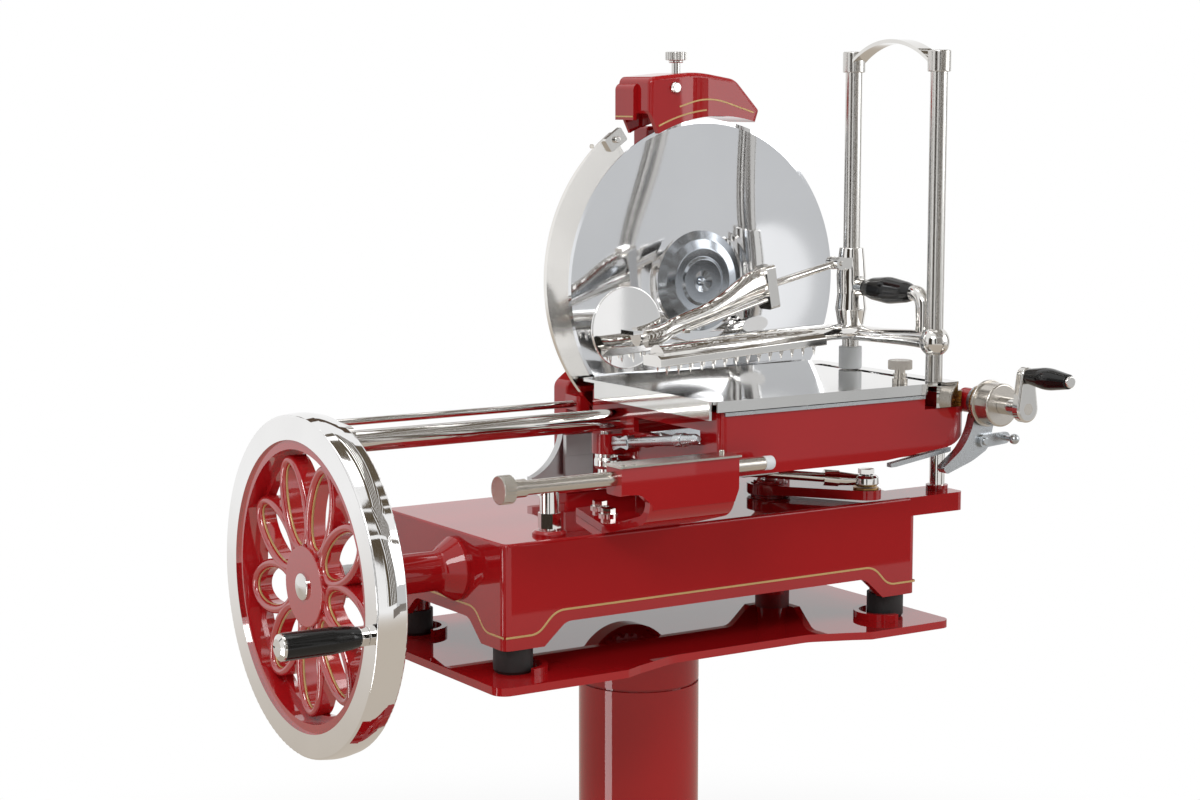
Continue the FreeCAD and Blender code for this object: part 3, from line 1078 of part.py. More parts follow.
def press_strut():
    """Upper strut: thin rod from the bracket, square head block, tapered arm and guide wire."""
    hinge = Vec(POST_X - LUG_REACH, POST_BACK_Y - 2, PRESS_HINGE_Z)
    block_at = Vec(372, 84, 226)
    eye = ring((hinge.x, hinge.y - 4.5, hinge.z), (0, 1, 0), 6.5, 2.5 + RUNNING_GAP, 9)
    run = (block_at - hinge).normalize()
    rod = bar(tuple(hinge + run * 5), tuple(block_at), 4)
    head = plate([(-11, -24, 3), (11, -24, 3), (11, 22, 3), (-11, 22, 3)], "x", -6, 6)
    head.rotate(Vec(0, 0, 0), Y_AXIS, -10)
    head.translate(block_at)
    arm = limb([((370, 84, 230), 9, 15), ((352, 83, 226), 9, 16), ((320, 80, 214), 9, 12),
                ((280, 77, 200), 8, 9), ((236, 74, 186), 7, 8)])
    foot = limb([((240, 74, 188), 7, 8), ((226, 74, 182), 8, 10), ((212, 76, 180), 8, 10)])
    wire = bar((366, 76, 212), (262, 72, 186), 2)
    hanger = block((258, 70, 183), (264, 77, 192))
    return fuse([eye, rod, head, arm, foot, wire, hanger])


def press_disc():
    """Round polished deflector disc with its clip."""
    at = (196, 84.6, 191)
    disc = spin([(0, 0), (3, 0), (3, 42, 1), (0, 42, 1)], at, (0, 1, 0))
    clip = block((196, 73, 184), (213, 85, 188))
    return fuse([disc, clip.cut(press_strut())])


# ---- export -------------------------------------------------------------------------------
PARTS = {
    "base_casting": base_casting, "base_feet": base_feet, "stand_plate": stand_plate,
    "stand_column": stand_column,
    "shaft_housing": shaft_housing, "drive_bushes": drive_bushes,
    "flywheel_rim": flywheel_rim, "flywheel_web": flywheel_web, "flywheel_cap": flywheel_cap,
    "main_shaft": main_shaft, "handle_spindle": handle_spindle, "handle_grip": handle_grip,
    "crank_shaft": crank_shaft, "crank_lever": crank_lever, "crank_pin": crank_pin,
    "connecting_rod": connecting_rod, "rod_pivot_pin": rod_pivot_pin,
    "main_rail": main_rail, "tie_bar": tie_bar, "front_rail": front_rail,
    "stop_bracket": stop_bracket, "bracket_screws": bracket_screws, "ruler_plate": ruler_plate,
    "thickness_rod": thickness_rod, "thickness_tip": thickness_tip, "thickness_knob": thickness_knob,
    "knife_frame": knife_frame, "frame_plates": frame_plates, "chain_case": chain_case,
    "blade": blade, "blade_hub": blade_hub, "blade_shaft": blade_shaft, "cross_shaft": cross_shaft,
    "ring_guard": ring_guard,
    "sharpener_cover": sharpener_cover, "sharpener_fittings": sharpener_fittings,
    "sharpener_press": sharpener_press, "sharpener_stones": sharpener_stones,
    "carriage_body": carriage_body, "carriage_fittings": carriage_fittings,
    "carriage_table": carriage_table, "table_knob": table_knob, "feed_link": feed_link,
    "feed_screw": feed_shaft, "ratchet_gear": ratchet_gear, "feed_crank": feed_crank,
    "feed_grip": feed_grip, "ratchet_lever": ratchet_lever,
    "cross_slide": cross_slide, "guide_posts": guide_posts, "post_handle": post_handle,
    "post_collar": post_collar, "clamp_arm": clamp_arm, "clamp_bracket": clamp_bracket,
    "clamp_grip": clamp_grip, "clamp_elbow": clamp_elbow, "spike_plate": spike_plate,
    "press_strut": press_strut, "press_disc": press_disc,
}

os.makedirs("parts", exist_ok=True)
for name, build in PARTS.items():
    shape = build()
    shape.translate(MACHINE_ORIGIN)
    print(name, "solids", len(shape.Solids), "valid", shape.isValid(), "volume", round(shape.Volume))
    shape.exportStep("parts/" + name + ".step")
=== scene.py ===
import logging
import math
from dataclasses import dataclass
from enum import Enum
from typing import Dict, List, Optional, Sequence, Tuple

import bmesh
import bpy
from mathutils import Matrix, Vector


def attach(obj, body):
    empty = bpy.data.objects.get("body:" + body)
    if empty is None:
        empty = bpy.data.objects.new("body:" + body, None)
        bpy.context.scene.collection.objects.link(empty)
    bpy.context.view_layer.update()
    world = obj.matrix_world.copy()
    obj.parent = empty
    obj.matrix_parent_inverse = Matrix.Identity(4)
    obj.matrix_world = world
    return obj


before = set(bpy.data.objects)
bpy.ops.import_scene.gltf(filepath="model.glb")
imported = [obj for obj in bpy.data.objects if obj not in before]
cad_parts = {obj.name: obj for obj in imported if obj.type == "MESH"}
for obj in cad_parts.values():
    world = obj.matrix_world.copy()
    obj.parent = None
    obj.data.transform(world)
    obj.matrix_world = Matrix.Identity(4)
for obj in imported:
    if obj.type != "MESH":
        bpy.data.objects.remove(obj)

log = logging.getLogger("slicer")

Triple = Tuple[float, float, float]
Colour = Tuple[float, float, float]

MM = 0.001
# Bump distance of the surface marks in metres, and how much of its colour a worn spot keeps.
BUMP_DEPTH = 0.0004
WORN_SHADE = 0.93
# Gold lines: height in metres, gap to the casting in mm, share of the height sunk in, width share on top.
PROUD = 0.25 * MM
SKIN = 0.02
LINE_SINK = 0.3
LINE_TAPER = 0.8
# The base's front left top corner in the frame's metres.
ORIGIN = Vector((-0.250, -0.143, 0.900))
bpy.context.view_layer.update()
GUARD_FRONT = 187.0


def at(x: float, y: float, z: float) -> Vector:
    """Place given in millimetres from the base's front left top corner, in metres."""
    return ORIGIN + Vector((x, y, z)) * MM


# ---- node helpers --------------------------------------------------------------------------
class Grain(Enum):
    """How a metal's surface marks run."""

    NONE = "none"
    ALONG_X = "along_x"
    ALONG_Z = "along_z"


class Tree:
    """Thin wrapper that makes building a node tree short to read."""

    def __init__(self, tree: bpy.types.NodeTree) -> None:
        """Keeps the tree."""
        self.tree = tree

    def add(self, kind: str, **values: object) -> bpy.types.Node:
        """Adds a node.

        Args:
            kind: The node's type name.
            values: Properties set on the node itself.

        Returns:
            The new node.
        """
        node = self.tree.nodes.new(kind)
        for name, value in values.items():
            setattr(node, name, value)
        return node

    def link(self, source: bpy.types.NodeSocket, target: bpy.types.NodeSocket) -> None:
        """Joins two sockets."""
        self.tree.links.new(source, target)


def surface_marks() -> bpy.types.ShaderNodeTree:
    """Shader group for the faint marks that every finish shows.

    Returns:
        A group that reads Object coordinates and puts out a roughness value, a height and a
        mask of worn or smudged places.
    """
    name = "surface_marks"
    if name in bpy.data.node_groups:
        return bpy.data.node_groups[name]
    group = bpy.data.node_groups.new(name, "ShaderNodeTree")
    face = group.interface
    for label, kind, value in (("Roughness", "NodeSocketFloat", 0.1),
                               ("Smudge", "NodeSocketFloat", 0.03),
                               ("Patch Scale", "NodeSocketFloat", 9.0),
                               ("Grain Scale", "NodeSocketFloat", 300.0),
                               ("Stretch", "NodeSocketVector", None)):
        socket = face.new_socket(label, in_out="INPUT", socket_type=kind)
        socket.default_value = value if value is not None else (1.0, 1.0, 1.0)
    for label in ("Roughness", "Height", "Mask"):
        face.new_socket(label, in_out="OUTPUT", socket_type="NodeSocketFloat")
    tree = Tree(group)
    come = tree.add("NodeGroupInput")
    leave = tree.add("NodeGroupOutput")
    coords = tree.add("ShaderNodeTexCoord")
    patch = tree.add("ShaderNodeTexNoise")
    patch.inputs["Detail"].default_value = 4.0
    tree.link(coords.outputs["Object"], patch.inputs["Vector"])
    tree.link(come.outputs["Patch Scale"], patch.inputs["Scale"])
    mask = tree.add("ShaderNodeMapRange")
    mask.inputs["From Min"].default_value = 0.38
    mask.inputs["From Max"].default_value = 0.68
    tree.link(patch.outputs["Fac"], mask.inputs["Value"])
    rough = tree.add("ShaderNodeMath", operation="MULTIPLY_ADD")
    tree.link(mask.outputs["Result"], rough.inputs[0])
    tree.link(come.outputs["Smudge"], rough.inputs[1])
    tree.link(come.outputs["Roughness"], rough.inputs[2])
    scaled = tree.add("ShaderNodeVectorMath", operation="MULTIPLY")
    tree.link(coords.outputs["Object"], scaled.inputs[0])
    tree.link(come.outputs["Stretch"], scaled.inputs[1])
    grain = tree.add("ShaderNodeTexNoise")
    grain.inputs["Detail"].default_value = 3.0
    tree.link(scaled.outputs["Vector"], grain.inputs["Vector"])
    tree.link(come.outputs["Grain Scale"], grain.inputs["Scale"])
    tree.link(rough.outputs["Value"], leave.inputs["Roughness"])
    tree.link(grain.outputs["Fac"], leave.inputs["Height"])
    tree.link(mask.outputs["Result"], leave.inputs["Mask"])
    return group


STRETCHES: Dict[Grain, Triple] = {
    Grain.NONE: (1.0, 1.0, 1.0),
    Grain.ALONG_X: (0.03, 1.0, 1.0),
    Grain.ALONG_Z: (1.0, 1.0, 0.03),
}


@dataclass(frozen=True)
class Finish:
    """One surface finish: base look and how marked it is.

    A finish builds its own material once and hands the same one out afterwards.
    """

    name: str
    colour: Colour
    metallic: float = 0.0
    roughness: float = 0.2
    smudge: float = 0.05
    patch_scale: float = 9.0
    grain_scale: float = 400.0
    bump: float = 0.02
    grain: Grain = Grain.NONE
    worn: Optional[Colour] = None
    coat: float = 0.0
    coat_roughness: float = 0.03
    subsurface: float = 0.0
    specular: float = 0.5
    coat_ior: float = 1.5

    def material(self) -> bpy.types.Material:
        """The finish's material.

        Returns:
            A material named after the finish, made on first use. The frame has plain materials
            of the same names, so the label keeps them apart.
        """
        label = "look_" + self.name
        if label in bpy.data.materials:
            return bpy.data.materials[label]
        material = bpy.data.materials.new(label)
        material.use_nodes = True
        tree = Tree(material.node_tree)
        shader = next(n for n in tree.tree.nodes if n.type == "BSDF_PRINCIPLED")
        marks = tree.add("ShaderNodeGroup", node_tree=surface_marks())
        marks.inputs["Roughness"].default_value = self.roughness
        marks.inputs["Smudge"].default_value = self.smudge
        marks.inputs["Patch Scale"].default_value = self.patch_scale
        marks.inputs["Grain Scale"].default_value = self.grain_scale
        marks.inputs["Stretch"].default_value = STRETCHES[self.grain]
        tree.link(marks.outputs["Roughness"], shader.inputs["Roughness"])
        bump = tree.add("ShaderNodeBump")
        bump.inputs["Strength"].default_value = self.bump
        bump.inputs["Distance"].default_value = BUMP_DEPTH
        tree.link(marks.outputs["Height"], bump.inputs["Height"])
        tree.link(bump.outputs["Normal"], shader.inputs["Normal"])
        mix = tree.add("ShaderNodeMix", data_type="RGBA")
        mix.inputs["A"].default_value = (*self.colour, 1.0)
        mix.inputs["B"].default_value = (*(self.worn or tuple(WORN_SHADE * c for c in self.colour)), 1.0)
        tree.link(marks.outputs["Mask"], mix.inputs["Factor"])
        tree.link(mix.outputs["Result"], shader.inputs["Base Color"])
        shader.inputs["Metallic"].default_value = self.metallic
        shader.inputs["Coat Weight"].default_value = self.coat
        shader.inputs["Coat Roughness"].default_value = self.coat_roughness
        shader.inputs["Coat IOR"].default_value = self.coat_ior
        shader.inputs["Specular IOR Level"].default_value = self.specular
        shader.inputs["Subsurface Weight"].default_value = self.subsurface
        shader.inputs["Subsurface Radius"].default_value = (0.004, 0.004, 0.004)
        return material


RED = Finish("red_enamel", (0.385, 0.008, 0.010), 0.0, 0.45, 0.05, 6.0, 160.0, 0.012, coat=1.0,
             coat_roughness=0.02, specular=0.0)
# Lighter copy of the red enamel for the wheel's web. The brighter colour and the stronger coat reflection
# (coat IOR 2.1) are painted light for the web's bright faces.
RED_WEB_LIT = Finish("red_enamel_lit_copy", (0.46, 0.011, 0.014), 0.0, 0.45, 0.06, 14.0, 120.0, 0.05, coat=1.0,
                 coat_roughness=0.05, specular=0.0, coat_ior=2.1)
GOLD = Finish("gold_line", (0.60, 0.40, 0.16), 0.25, 0.30, 0.05, 30.0, 500.0, 0.02)
CHROME = Finish("chrome_plate", (0.76, 0.745, 0.72), 1.0, 0.06, 0.04, 8.0, 500.0, 0.001)
# Darker, rougher copy of the chrome for the guide posts. Its darker colour is painted shade that stands in
# for the dark bands the posts reflect.
POST_CHROME_SHADED = Finish("post_chrome_shaded", (0.64, 0.625, 0.60), 1.0, 0.20, 0.03, 8.0, 500.0, 0.001)
RIM_CHROME = Finish("rim_chrome", (0.86, 0.855, 0.85), 1.0, 0.03, 0.03, 8.0, 500.0, 0.005)
MIRROR = Finish("mirror_steel", (0.64, 0.63, 0.61), 1.0, 0.035, 0.04, 7.0, 700.0, 0.012, Grain.ALONG_X)
GUARD_STEEL = Finish("guard_steel", (0.84, 0.82, 0.79), 1.0, 0.10, 0.05, 9.0, 900.0, 0.03, Grain.ALONG_Z)
NICKEL = Finish("satin_nickel", (0.64, 0.605, 0.555), 1.0, 0.20, 0.06, 12.0, 900.0, 0.05)
SATIN = Finish("satin_steel", (0.55, 0.55, 0.55), 1.0, 0.30, 0.08, 12.0, 1200.0, 0.10, Grain.ALONG_X)
ZINC = Finish("zinc_plate", (0.56, 0.58, 0.60), 1.0, 0.24, 0.10, 40.0, 500.0, 0.05,
              worn=(0.46, 0.49, 0.51))
BLADE_STEEL = Finish("blade_steel", (0.84, 0.85, 0.87), 1.0, 0.03, 0.03, 5.0, 900.0, 0.006)
# Blade hub: its dark blue-grey colour is a painted reflection of the dark surroundings that the polished hub
# mirrors.
HUB_PAINTED_REFLECTION = Finish("hub_painted_reflection", (0.42, 0.45, 0.49), 1.0, 0.13, 0.05, 9.0, 700.0, 0.01)
TABLE_STEEL = Finish("table_steel", (0.72, 0.715, 0.70), 1.0, 0.05, 0.05, 7.0, 700.0, 0.01, Grain.ALONG_X)
BRONZE = Finish("bronze", (0.46, 0.28, 0.10), 1.0, 0.28, 0.08, 20.0, 800.0, 0.05)
BLACK = Finish("black_bakelite", (0.005, 0.005, 0.005), 0.0, 0.15, 0.06, 12.0, 300.0, 0.01, coat=0.3,
               specular=0.3)
RUBBER = Finish("black_rubber", (0.012, 0.012, 0.012), 0.0, 0.55, 0.10, 20.0, 900.0, 0.20)
NYLON = Finish("white_nylon", (0.72, 0.74, 0.75), 0.0, 0.32, 0.08, 30.0, 600.0, 0.06, subsurface=0.25)
STONE = Finish("grinding_stone", (0.30, 0.27, 0.23), 0.0, 0.85, 0.05, 60.0, 2500.0, 0.6)
ENGRAVED = Finish("engraved_mark", (0.03, 0.03, 0.03), 0.0, 0.5, 0.05, 60.0, 900.0, 0.05)

NODE_FINISHES: Dict[str, Finish] = {
    "base_casting": RED, "base_feet": RUBBER, "stand_plate": RED, "stand_column": RED,
    "shaft_housing": RED, "drive_bushes": BRONZE, "flywheel_rim": RIM_CHROME, "flywheel_web": RED_WEB_LIT,
    "flywheel_cap": CHROME, "main_shaft": SATIN, "handle_spindle": CHROME, "handle_grip": BLACK,
    "crank_shaft": SATIN, "crank_lever": RED, "crank_pin": BRONZE, "connecting_rod": CHROME,
    "rod_pivot_pin": CHROME, "main_rail": CHROME, "tie_bar": CHROME, "front_rail": CHROME,
    "stop_bracket": RED, "bracket_screws": CHROME, "ruler_plate": NICKEL, "thickness_rod": NICKEL,
    "thickness_tip": NYLON, "thickness_knob": NICKEL, "knife_frame": RED, "frame_plates": SATIN,
    "chain_case": RED, "blade": BLADE_STEEL, "blade_hub": HUB_PAINTED_REFLECTION, "blade_shaft": SATIN,
    "cross_shaft": SATIN, "ring_guard": GUARD_STEEL, "sharpener_cover": RED, "sharpener_fittings": CHROME,
    "sharpener_press": CHROME, "sharpener_stones": STONE, "carriage_body": RED,
    "carriage_fittings": ZINC, "carriage_table": TABLE_STEEL, "table_knob": NICKEL, "feed_link": ZINC,
    "feed_screw": NICKEL, "ratchet_gear": BRONZE, "feed_crank": CHROME, "feed_grip": BLACK,
    "ratchet_lever": ZINC, "cross_slide": MIRROR, "guide_posts": POST_CHROME_SHADED, "post_handle": CHROME,
    "post_collar": NYLON, "clamp_arm": CHROME, "clamp_bracket": CHROME, "clamp_grip": BLACK,
    "clamp_elbow": CHROME, "spike_plate": CHROME, "press_strut": CHROME, "press_disc": RIM_CHROME,
}


# ---- mesh helpers --------------------------------------------------------------------------
def piece_from(name: str, mesh: bpy.types.Mesh, finish: Finish, body: str) -> bpy.types.Object:
    """Makes a scene piece from a finished mesh and lets it ride on a body.

    Args:
        name: The piece's name.
        mesh: Its mesh, already in place.
        finish: The finish to wear.
        body: The CAD body that carries it.

    Returns:
        The linked object.
    """
    piece = bpy.data.objects.new(name, mesh)
    bpy.context.scene.collection.objects.link(piece)
    mesh.materials.clear()
    mesh.materials.append(finish.material())
    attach(piece, body)
    log.info("%s rides on %s with %d faces", name, body, len(mesh.polygons))
    return piece


def ribbon(name: str, paths: Sequence[Sequence[Vector]], half_width: float, normal: Vector,
           thickness: float, closed: bool = False) -> bpy.types.Mesh:
    """Flat painted line with square edges along paths that lie in a plane.

    Args:
        name: The mesh's name.
        paths: Polylines in place, in metres.
        half_width: Half the line's width in metres.
        normal: The plane's normal, pointing out of the surface.
        thickness: How far the line stands proud, in metres.
        closed: Whether each path closes on itself.

    Returns:
        A mesh of closed strips.
    """
    work = bmesh.new()
    for path in paths:
        count = len(path)
        rings = []
        for i, here in enumerate(path):
            before = path[(i - 1) % count] if closed or i > 0 else here
            after = path[(i + 1) % count] if closed or i < count - 1 else here
            side = normal.cross((after - before).normalized()).normalized() * half_width
            low, high = here - normal * LINE_SINK * thickness, here + normal * thickness
            inner = side * LINE_TAPER
            rings.append([work.verts.new(p) for p in (low - side, high - inner, high + inner, low + side)])
        spans = count if closed else count - 1
        for i in range(spans):
            one, two = rings[i], rings[(i + 1) % count]
            for k in range(4):
                work.faces.new((one[k], one[(k + 1) % 4], two[(k + 1) % 4], two[k]))
        if not closed:
            work.faces.new(rings[0][::-1])
            work.faces.new(rings[-1])
    bmesh.ops.recalc_face_normals(work, faces=work.faces)
    mesh = bpy.data.meshes.new(name)
    work.to_mesh(mesh)
    work.free()
    return mesh


def rounded(corners: Sequence[Tuple[float, float, float]], steps: int = 8) -> List[Tuple[float, float]]:
    """Polyline through corners, each eased by its radius.

    Args:
        corners: (u, v, radius) corners. The first and last stay sharp.
        steps: Points on each eased corner.

    Returns:
        The (u, v) points in order.
    """
    points = [(corners[0][0], corners[0][1])]
    for before, here, after in zip(corners, corners[1:], corners[2:]):
        centre = Vector(here[:2])
        back = (Vector(before[:2]) - centre).normalized()
        ahead = (Vector(after[:2]) - centre).normalized()
        reach = here[2]
        start, end = centre + back * reach, centre + ahead * reach
        for i in range(steps + 1):
            t = i / steps
            spot = start * (1 - t) ** 2 + centre * 2 * t * (1 - t) + end * t ** 2
            points.append((spot.x, spot.y))
    points.append((corners[-1][0], corners[-1][1]))
    return points


# ---- geometry trees ------------------------------------------------------------------------
class ShapeTree(Tree):
    """Geometry tree with named inputs that ends in Realize Instances and Set Material."""

    def __init__(self, name: str, inputs: Sequence[Tuple[str, str, object]]) -> None:
        """Makes the tree and its sockets.

        Args:
            name: The tree's name.
            inputs: (label, socket type, start value) of each named input.
        """
        group = bpy.data.node_groups.new(name, "GeometryNodeTree")
        super().__init__(group)
        group.interface.new_socket("Geometry", in_out="INPUT", socket_type="NodeSocketGeometry")
        for label, kind, value in inputs:
            socket = group.interface.new_socket(label, in_out="INPUT", socket_type=kind)
            socket.default_value = value
        group.interface.new_socket("Material", in_out="INPUT", socket_type="NodeSocketMaterial")
        group.interface.new_socket("Geometry", in_out="OUTPUT", socket_type="NodeSocketGeometry")
        self.come = self.add("NodeGroupInput")
        self.leave = self.add("NodeGroupOutput")

    def math(self, operation: str, first: object, second: object) -> bpy.types.NodeSocket:
        """Adds a Math node and gives back its value.

        Args:
            operation: The node's operation.
            first: A socket or a plain number.
            second: A socket or a plain number.

        Returns:
            The result's socket.
        """
        node = self.add("ShaderNodeMath", operation=operation)
        for socket, value in zip(node.inputs, (first, second)):
            if isinstance(value, bpy.types.NodeSocket):
                self.link(value, socket)
            else:
                socket.default_value = value
        return node.outputs["Value"]

    def close(self, shape: bpy.types.NodeSocket) -> None:
        """Ends the tree.

        Args:
            shape: The geometry to put out.
        """
        realize = self.add("GeometryNodeRealizeInstances")
        paint = self.add("GeometryNodeSetMaterial")
        self.link(shape, realize.inputs["Geometry"])
        self.link(realize.outputs["Geometry"], paint.inputs["Geometry"])
        self.link(self.come.outputs["Material"], paint.inputs["Material"])
        self.link(paint.outputs["Geometry"], self.leave.inputs["Geometry"])

    def bake(self, start: bpy.types.Mesh, finish: Finish, values: Dict[str, object]) -> bpy.types.Mesh:
        """Runs the tree once on a mesh.

        Args:
            start: The mesh that the tree works from.
            finish: The finish to set.
            values: Values by input name.

        Returns:
            The result as a plain mesh.
        """
        carrier = bpy.data.objects.new("carrier", start)
        bpy.context.scene.collection.objects.link(carrier)
        modifier = carrier.modifiers.new("shape", "NODES")
        modifier.node_group = self.tree
        settings = dict(values, Material=finish.material())
        for item in self.tree.interface.items_tree:
            if item.item_type == "SOCKET" and item.in_out == "INPUT" and item.name in settings:
                modifier[item.identifier] = settings[item.name]
        graph = bpy.context.evaluated_depsgraph_get()
        mesh = bpy.data.meshes.new_from_object(carrier.evaluated_get(graph), depsgraph=graph)
        carrier.modifiers.remove(modifier)
        bpy.data.objects.remove(carrier)
        return mesh


def point_mesh(name: str, places: Sequence[Vector], facings: Sequence[Triple]) -> bpy.types.Mesh:
    """Loose points that carry the way each one faces.

    Args:
        name: The mesh's name.
        places: Points in metres.
        facings: Direction of each point.

    Returns:
        A mesh of vertices with a "facing" attribute.
    """
    mesh = bpy.data.meshes.new(name)
    mesh.from_pydata([tuple(p) for p in places], [], [])
    layer = mesh.attributes.new("facing", "FLOAT_VECTOR", "POINT")
    for i, facing in enumerate(facings):
        layer.data[i].vector = facing
    return mesh


def petal_loop_tree() -> ShapeTree:
    """Tree that sweeps a square wall round an ellipse and sets it out round an axis."""
    tree = ShapeTree("petal_loops", (
        ("Count", "NodeSocketInt", 9), ("Centre", "NodeSocketFloat", 0.08), ("Long", "NodeSocketFloat", 0.04),
        ("Wide", "NodeSocketFloat", 0.02), ("Wall", "NodeSocketFloat", 0.0004),
        ("Depth", "NodeSocketFloat", 0.002), ("First", "NodeSocketFloat", 0.0)))
    circle = tree.add("GeometryNodeCurvePrimitiveCircle")
    circle.inputs["Resolution"].default_value = 72
    circle.inputs["Radius"].default_value = 1.0
    size = tree.add("ShaderNodeCombineXYZ")
    tree.link(tree.come.outputs["Long"], size.inputs["X"])
    tree.link(tree.come.outputs["Wide"], size.inputs["Y"])
    size.inputs["Z"].default_value = 1.0
    spot = tree.add("ShaderNodeCombineXYZ")
    tree.link(tree.come.outputs["Centre"], spot.inputs["X"])
    stretch = tree.add("GeometryNodeTransform")
    tree.link(circle.outputs["Curve"], stretch.inputs["Geometry"])
    tree.link(size.outputs["Vector"], stretch.inputs["Scale"])
    tree.link(spot.outputs["Vector"], stretch.inputs["Translation"])
    upright = tree.add("GeometryNodeSetCurveNormal")
    tree.link(stretch.outputs["Geometry"], upright.inputs["Curve"])
    section = tree.add("GeometryNodeCurvePrimitiveQuadrilateral")
    tree.link(tree.come.outputs["Wall"], section.inputs["Width"])
    tree.link(tree.come.outputs["Depth"], section.inputs["Height"])
    sweep = tree.add("GeometryNodeCurveToMesh")
    tree.link(upright.outputs["Curve"], sweep.inputs["Curve"])
    tree.link(section.outputs["Curve"], sweep.inputs["Profile Curve"])
    points = tree.add("GeometryNodePoints")
    tree.link(tree.come.outputs["Count"], points.inputs["Count"])
    index = tree.add("GeometryNodeInputIndex")
    share = tree.math("DIVIDE", 2 * math.pi, tree.come.outputs["Count"])
    turn = tree.math("ADD", tree.math("MULTIPLY", index.outputs["Index"], share), tree.come.outputs["First"])
    around = tree.add("ShaderNodeCombineXYZ")
    tree.link(turn, around.inputs["Z"])
    spread = tree.add("GeometryNodeInstanceOnPoints")
    tree.link(points.outputs["Points"], spread.inputs["Points"])
    tree.link(sweep.outputs["Mesh"], spread.inputs["Instance"])
    tree.link(around.outputs["Vector"], spread.inputs["Rotation"])
    tree.close(spread.outputs["Instances"])
    return tree


def scale_mark_tree() -> ShapeTree:
    """Tree that sets out a ruler's marks along +X, every fifth one longer."""
    tree = ShapeTree("scale_marks", (
        ("Count", "NodeSocketInt", 41), ("Step", "NodeSocketFloat", 0.002),
        ("Width", "NodeSocketFloat", 0.0003), ("Length", "NodeSocketFloat", 0.004),
        ("Height", "NodeSocketFloat", 0.0001)))
    size = tree.add("ShaderNodeCombineXYZ")
    for label, axis in (("Width", "X"), ("Length", "Y"), ("Height", "Z")):
        tree.link(tree.come.outputs[label], size.inputs[axis])
    bar = tree.add("GeometryNodeMeshCube")
    tree.link(size.outputs["Vector"], bar.inputs["Size"])
    shift = tree.add("ShaderNodeCombineXYZ")
    tree.link(tree.math("MULTIPLY", tree.come.outputs["Length"], 0.5), shift.inputs["Y"])
    seat = tree.add("GeometryNodeTransform")
    tree.link(bar.outputs["Mesh"], seat.inputs["Geometry"])
    tree.link(shift.outputs["Vector"], seat.inputs["Translation"])
    index = tree.add("GeometryNodeInputIndex")
    along = tree.add("ShaderNodeCombineXYZ")
    tree.link(tree.math("MULTIPLY", index.outputs["Index"], tree.come.outputs["Step"]), along.inputs["X"])
    points = tree.add("GeometryNodePoints")
    tree.link(tree.come.outputs["Count"], points.inputs["Count"])
    tree.link(along.outputs["Vector"], points.inputs["Position"])
    rest = tree.math("MODULO", index.outputs["Index"], 5.0)
    fifth = tree.math("LESS_THAN", rest, 0.5)
    stretch = tree.add("ShaderNodeCombineXYZ")
    stretch.inputs["X"].default_value = 1.0
    stretch.inputs["Z"].default_value = 1.0
    tree.link(tree.math("ADD", tree.math("MULTIPLY", fifth, 0.8), 1.0), stretch.inputs["Y"])
    spread = tree.add("GeometryNodeInstanceOnPoints")
    tree.link(points.outputs["Points"], spread.inputs["Points"])
    tree.link(seat.outputs["Geometry"], spread.inputs["Instance"])
    tree.link(stretch.outputs["Vector"], spread.inputs["Scale"])
    tree.close(spread.outputs["Instances"])
    return tree


def screw_head_tree() -> ShapeTree:
    """Tree that sets a slotted screw head on each point, facing as the point says."""
    tree = ShapeTree("screw_heads", (
        ("Radius", "NodeSocketFloat", 0.003), ("Height", "NodeSocketFloat", 0.001),
        ("Slot", "NodeSocketFloat", 0.0006)))
    head = tree.add("GeometryNodeMeshCylinder")
    head.inputs["Vertices"].default_value = 28
    tree.link(tree.come.outputs["Radius"], head.inputs["Radius"])
    tree.link(tree.math("MULTIPLY", tree.come.outputs["Height"], 2.0), head.inputs["Depth"])
    size = tree.add("ShaderNodeCombineXYZ")
    tree.link(tree.math("MULTIPLY", tree.come.outputs["Radius"], 2.4), size.inputs["X"])
    tree.link(tree.come.outputs["Slot"], size.inputs["Y"])
    tree.link(tree.come.outputs["Height"], size.inputs["Z"])
    cut = tree.add("GeometryNodeMeshCube")
    tree.link(size.outputs["Vector"], cut.inputs["Size"])
    lift = tree.add("ShaderNodeCombineXYZ")
    tree.link(tree.come.outputs["Height"], lift.inputs["Z"])
    raised = tree.add("GeometryNodeTransform")
    tree.link(cut.outputs["Mesh"], raised.inputs["Geometry"])
    tree.link(lift.outputs["Vector"], raised.inputs["Translation"])
    slotted = tree.add("GeometryNodeMeshBoolean", operation="DIFFERENCE")
    tree.link(head.outputs["Mesh"], slotted.inputs["Mesh 1"])
    tree.link(raised.outputs["Geometry"], slotted.inputs["Mesh 2"])
    facing = tree.add("GeometryNodeInputNamedAttribute", data_type="FLOAT_VECTOR")
    facing.inputs["Name"].default_value = "facing"
    aim = tree.add("FunctionNodeAlignRotationToVector", axis="Z")
    tree.link(facing.outputs["Attribute"], aim.inputs["Vector"])
    spread = tree.add("GeometryNodeInstanceOnPoints")
    tree.link(tree.come.outputs["Geometry"], spread.inputs["Points"])
    tree.link(slotted.outputs["Mesh"], spread.inputs["Instance"])
    tree.link(aim.outputs["Rotation"], spread.inputs["Rotation"])
    tree.close(spread.outputs["Instances"])
    return tree


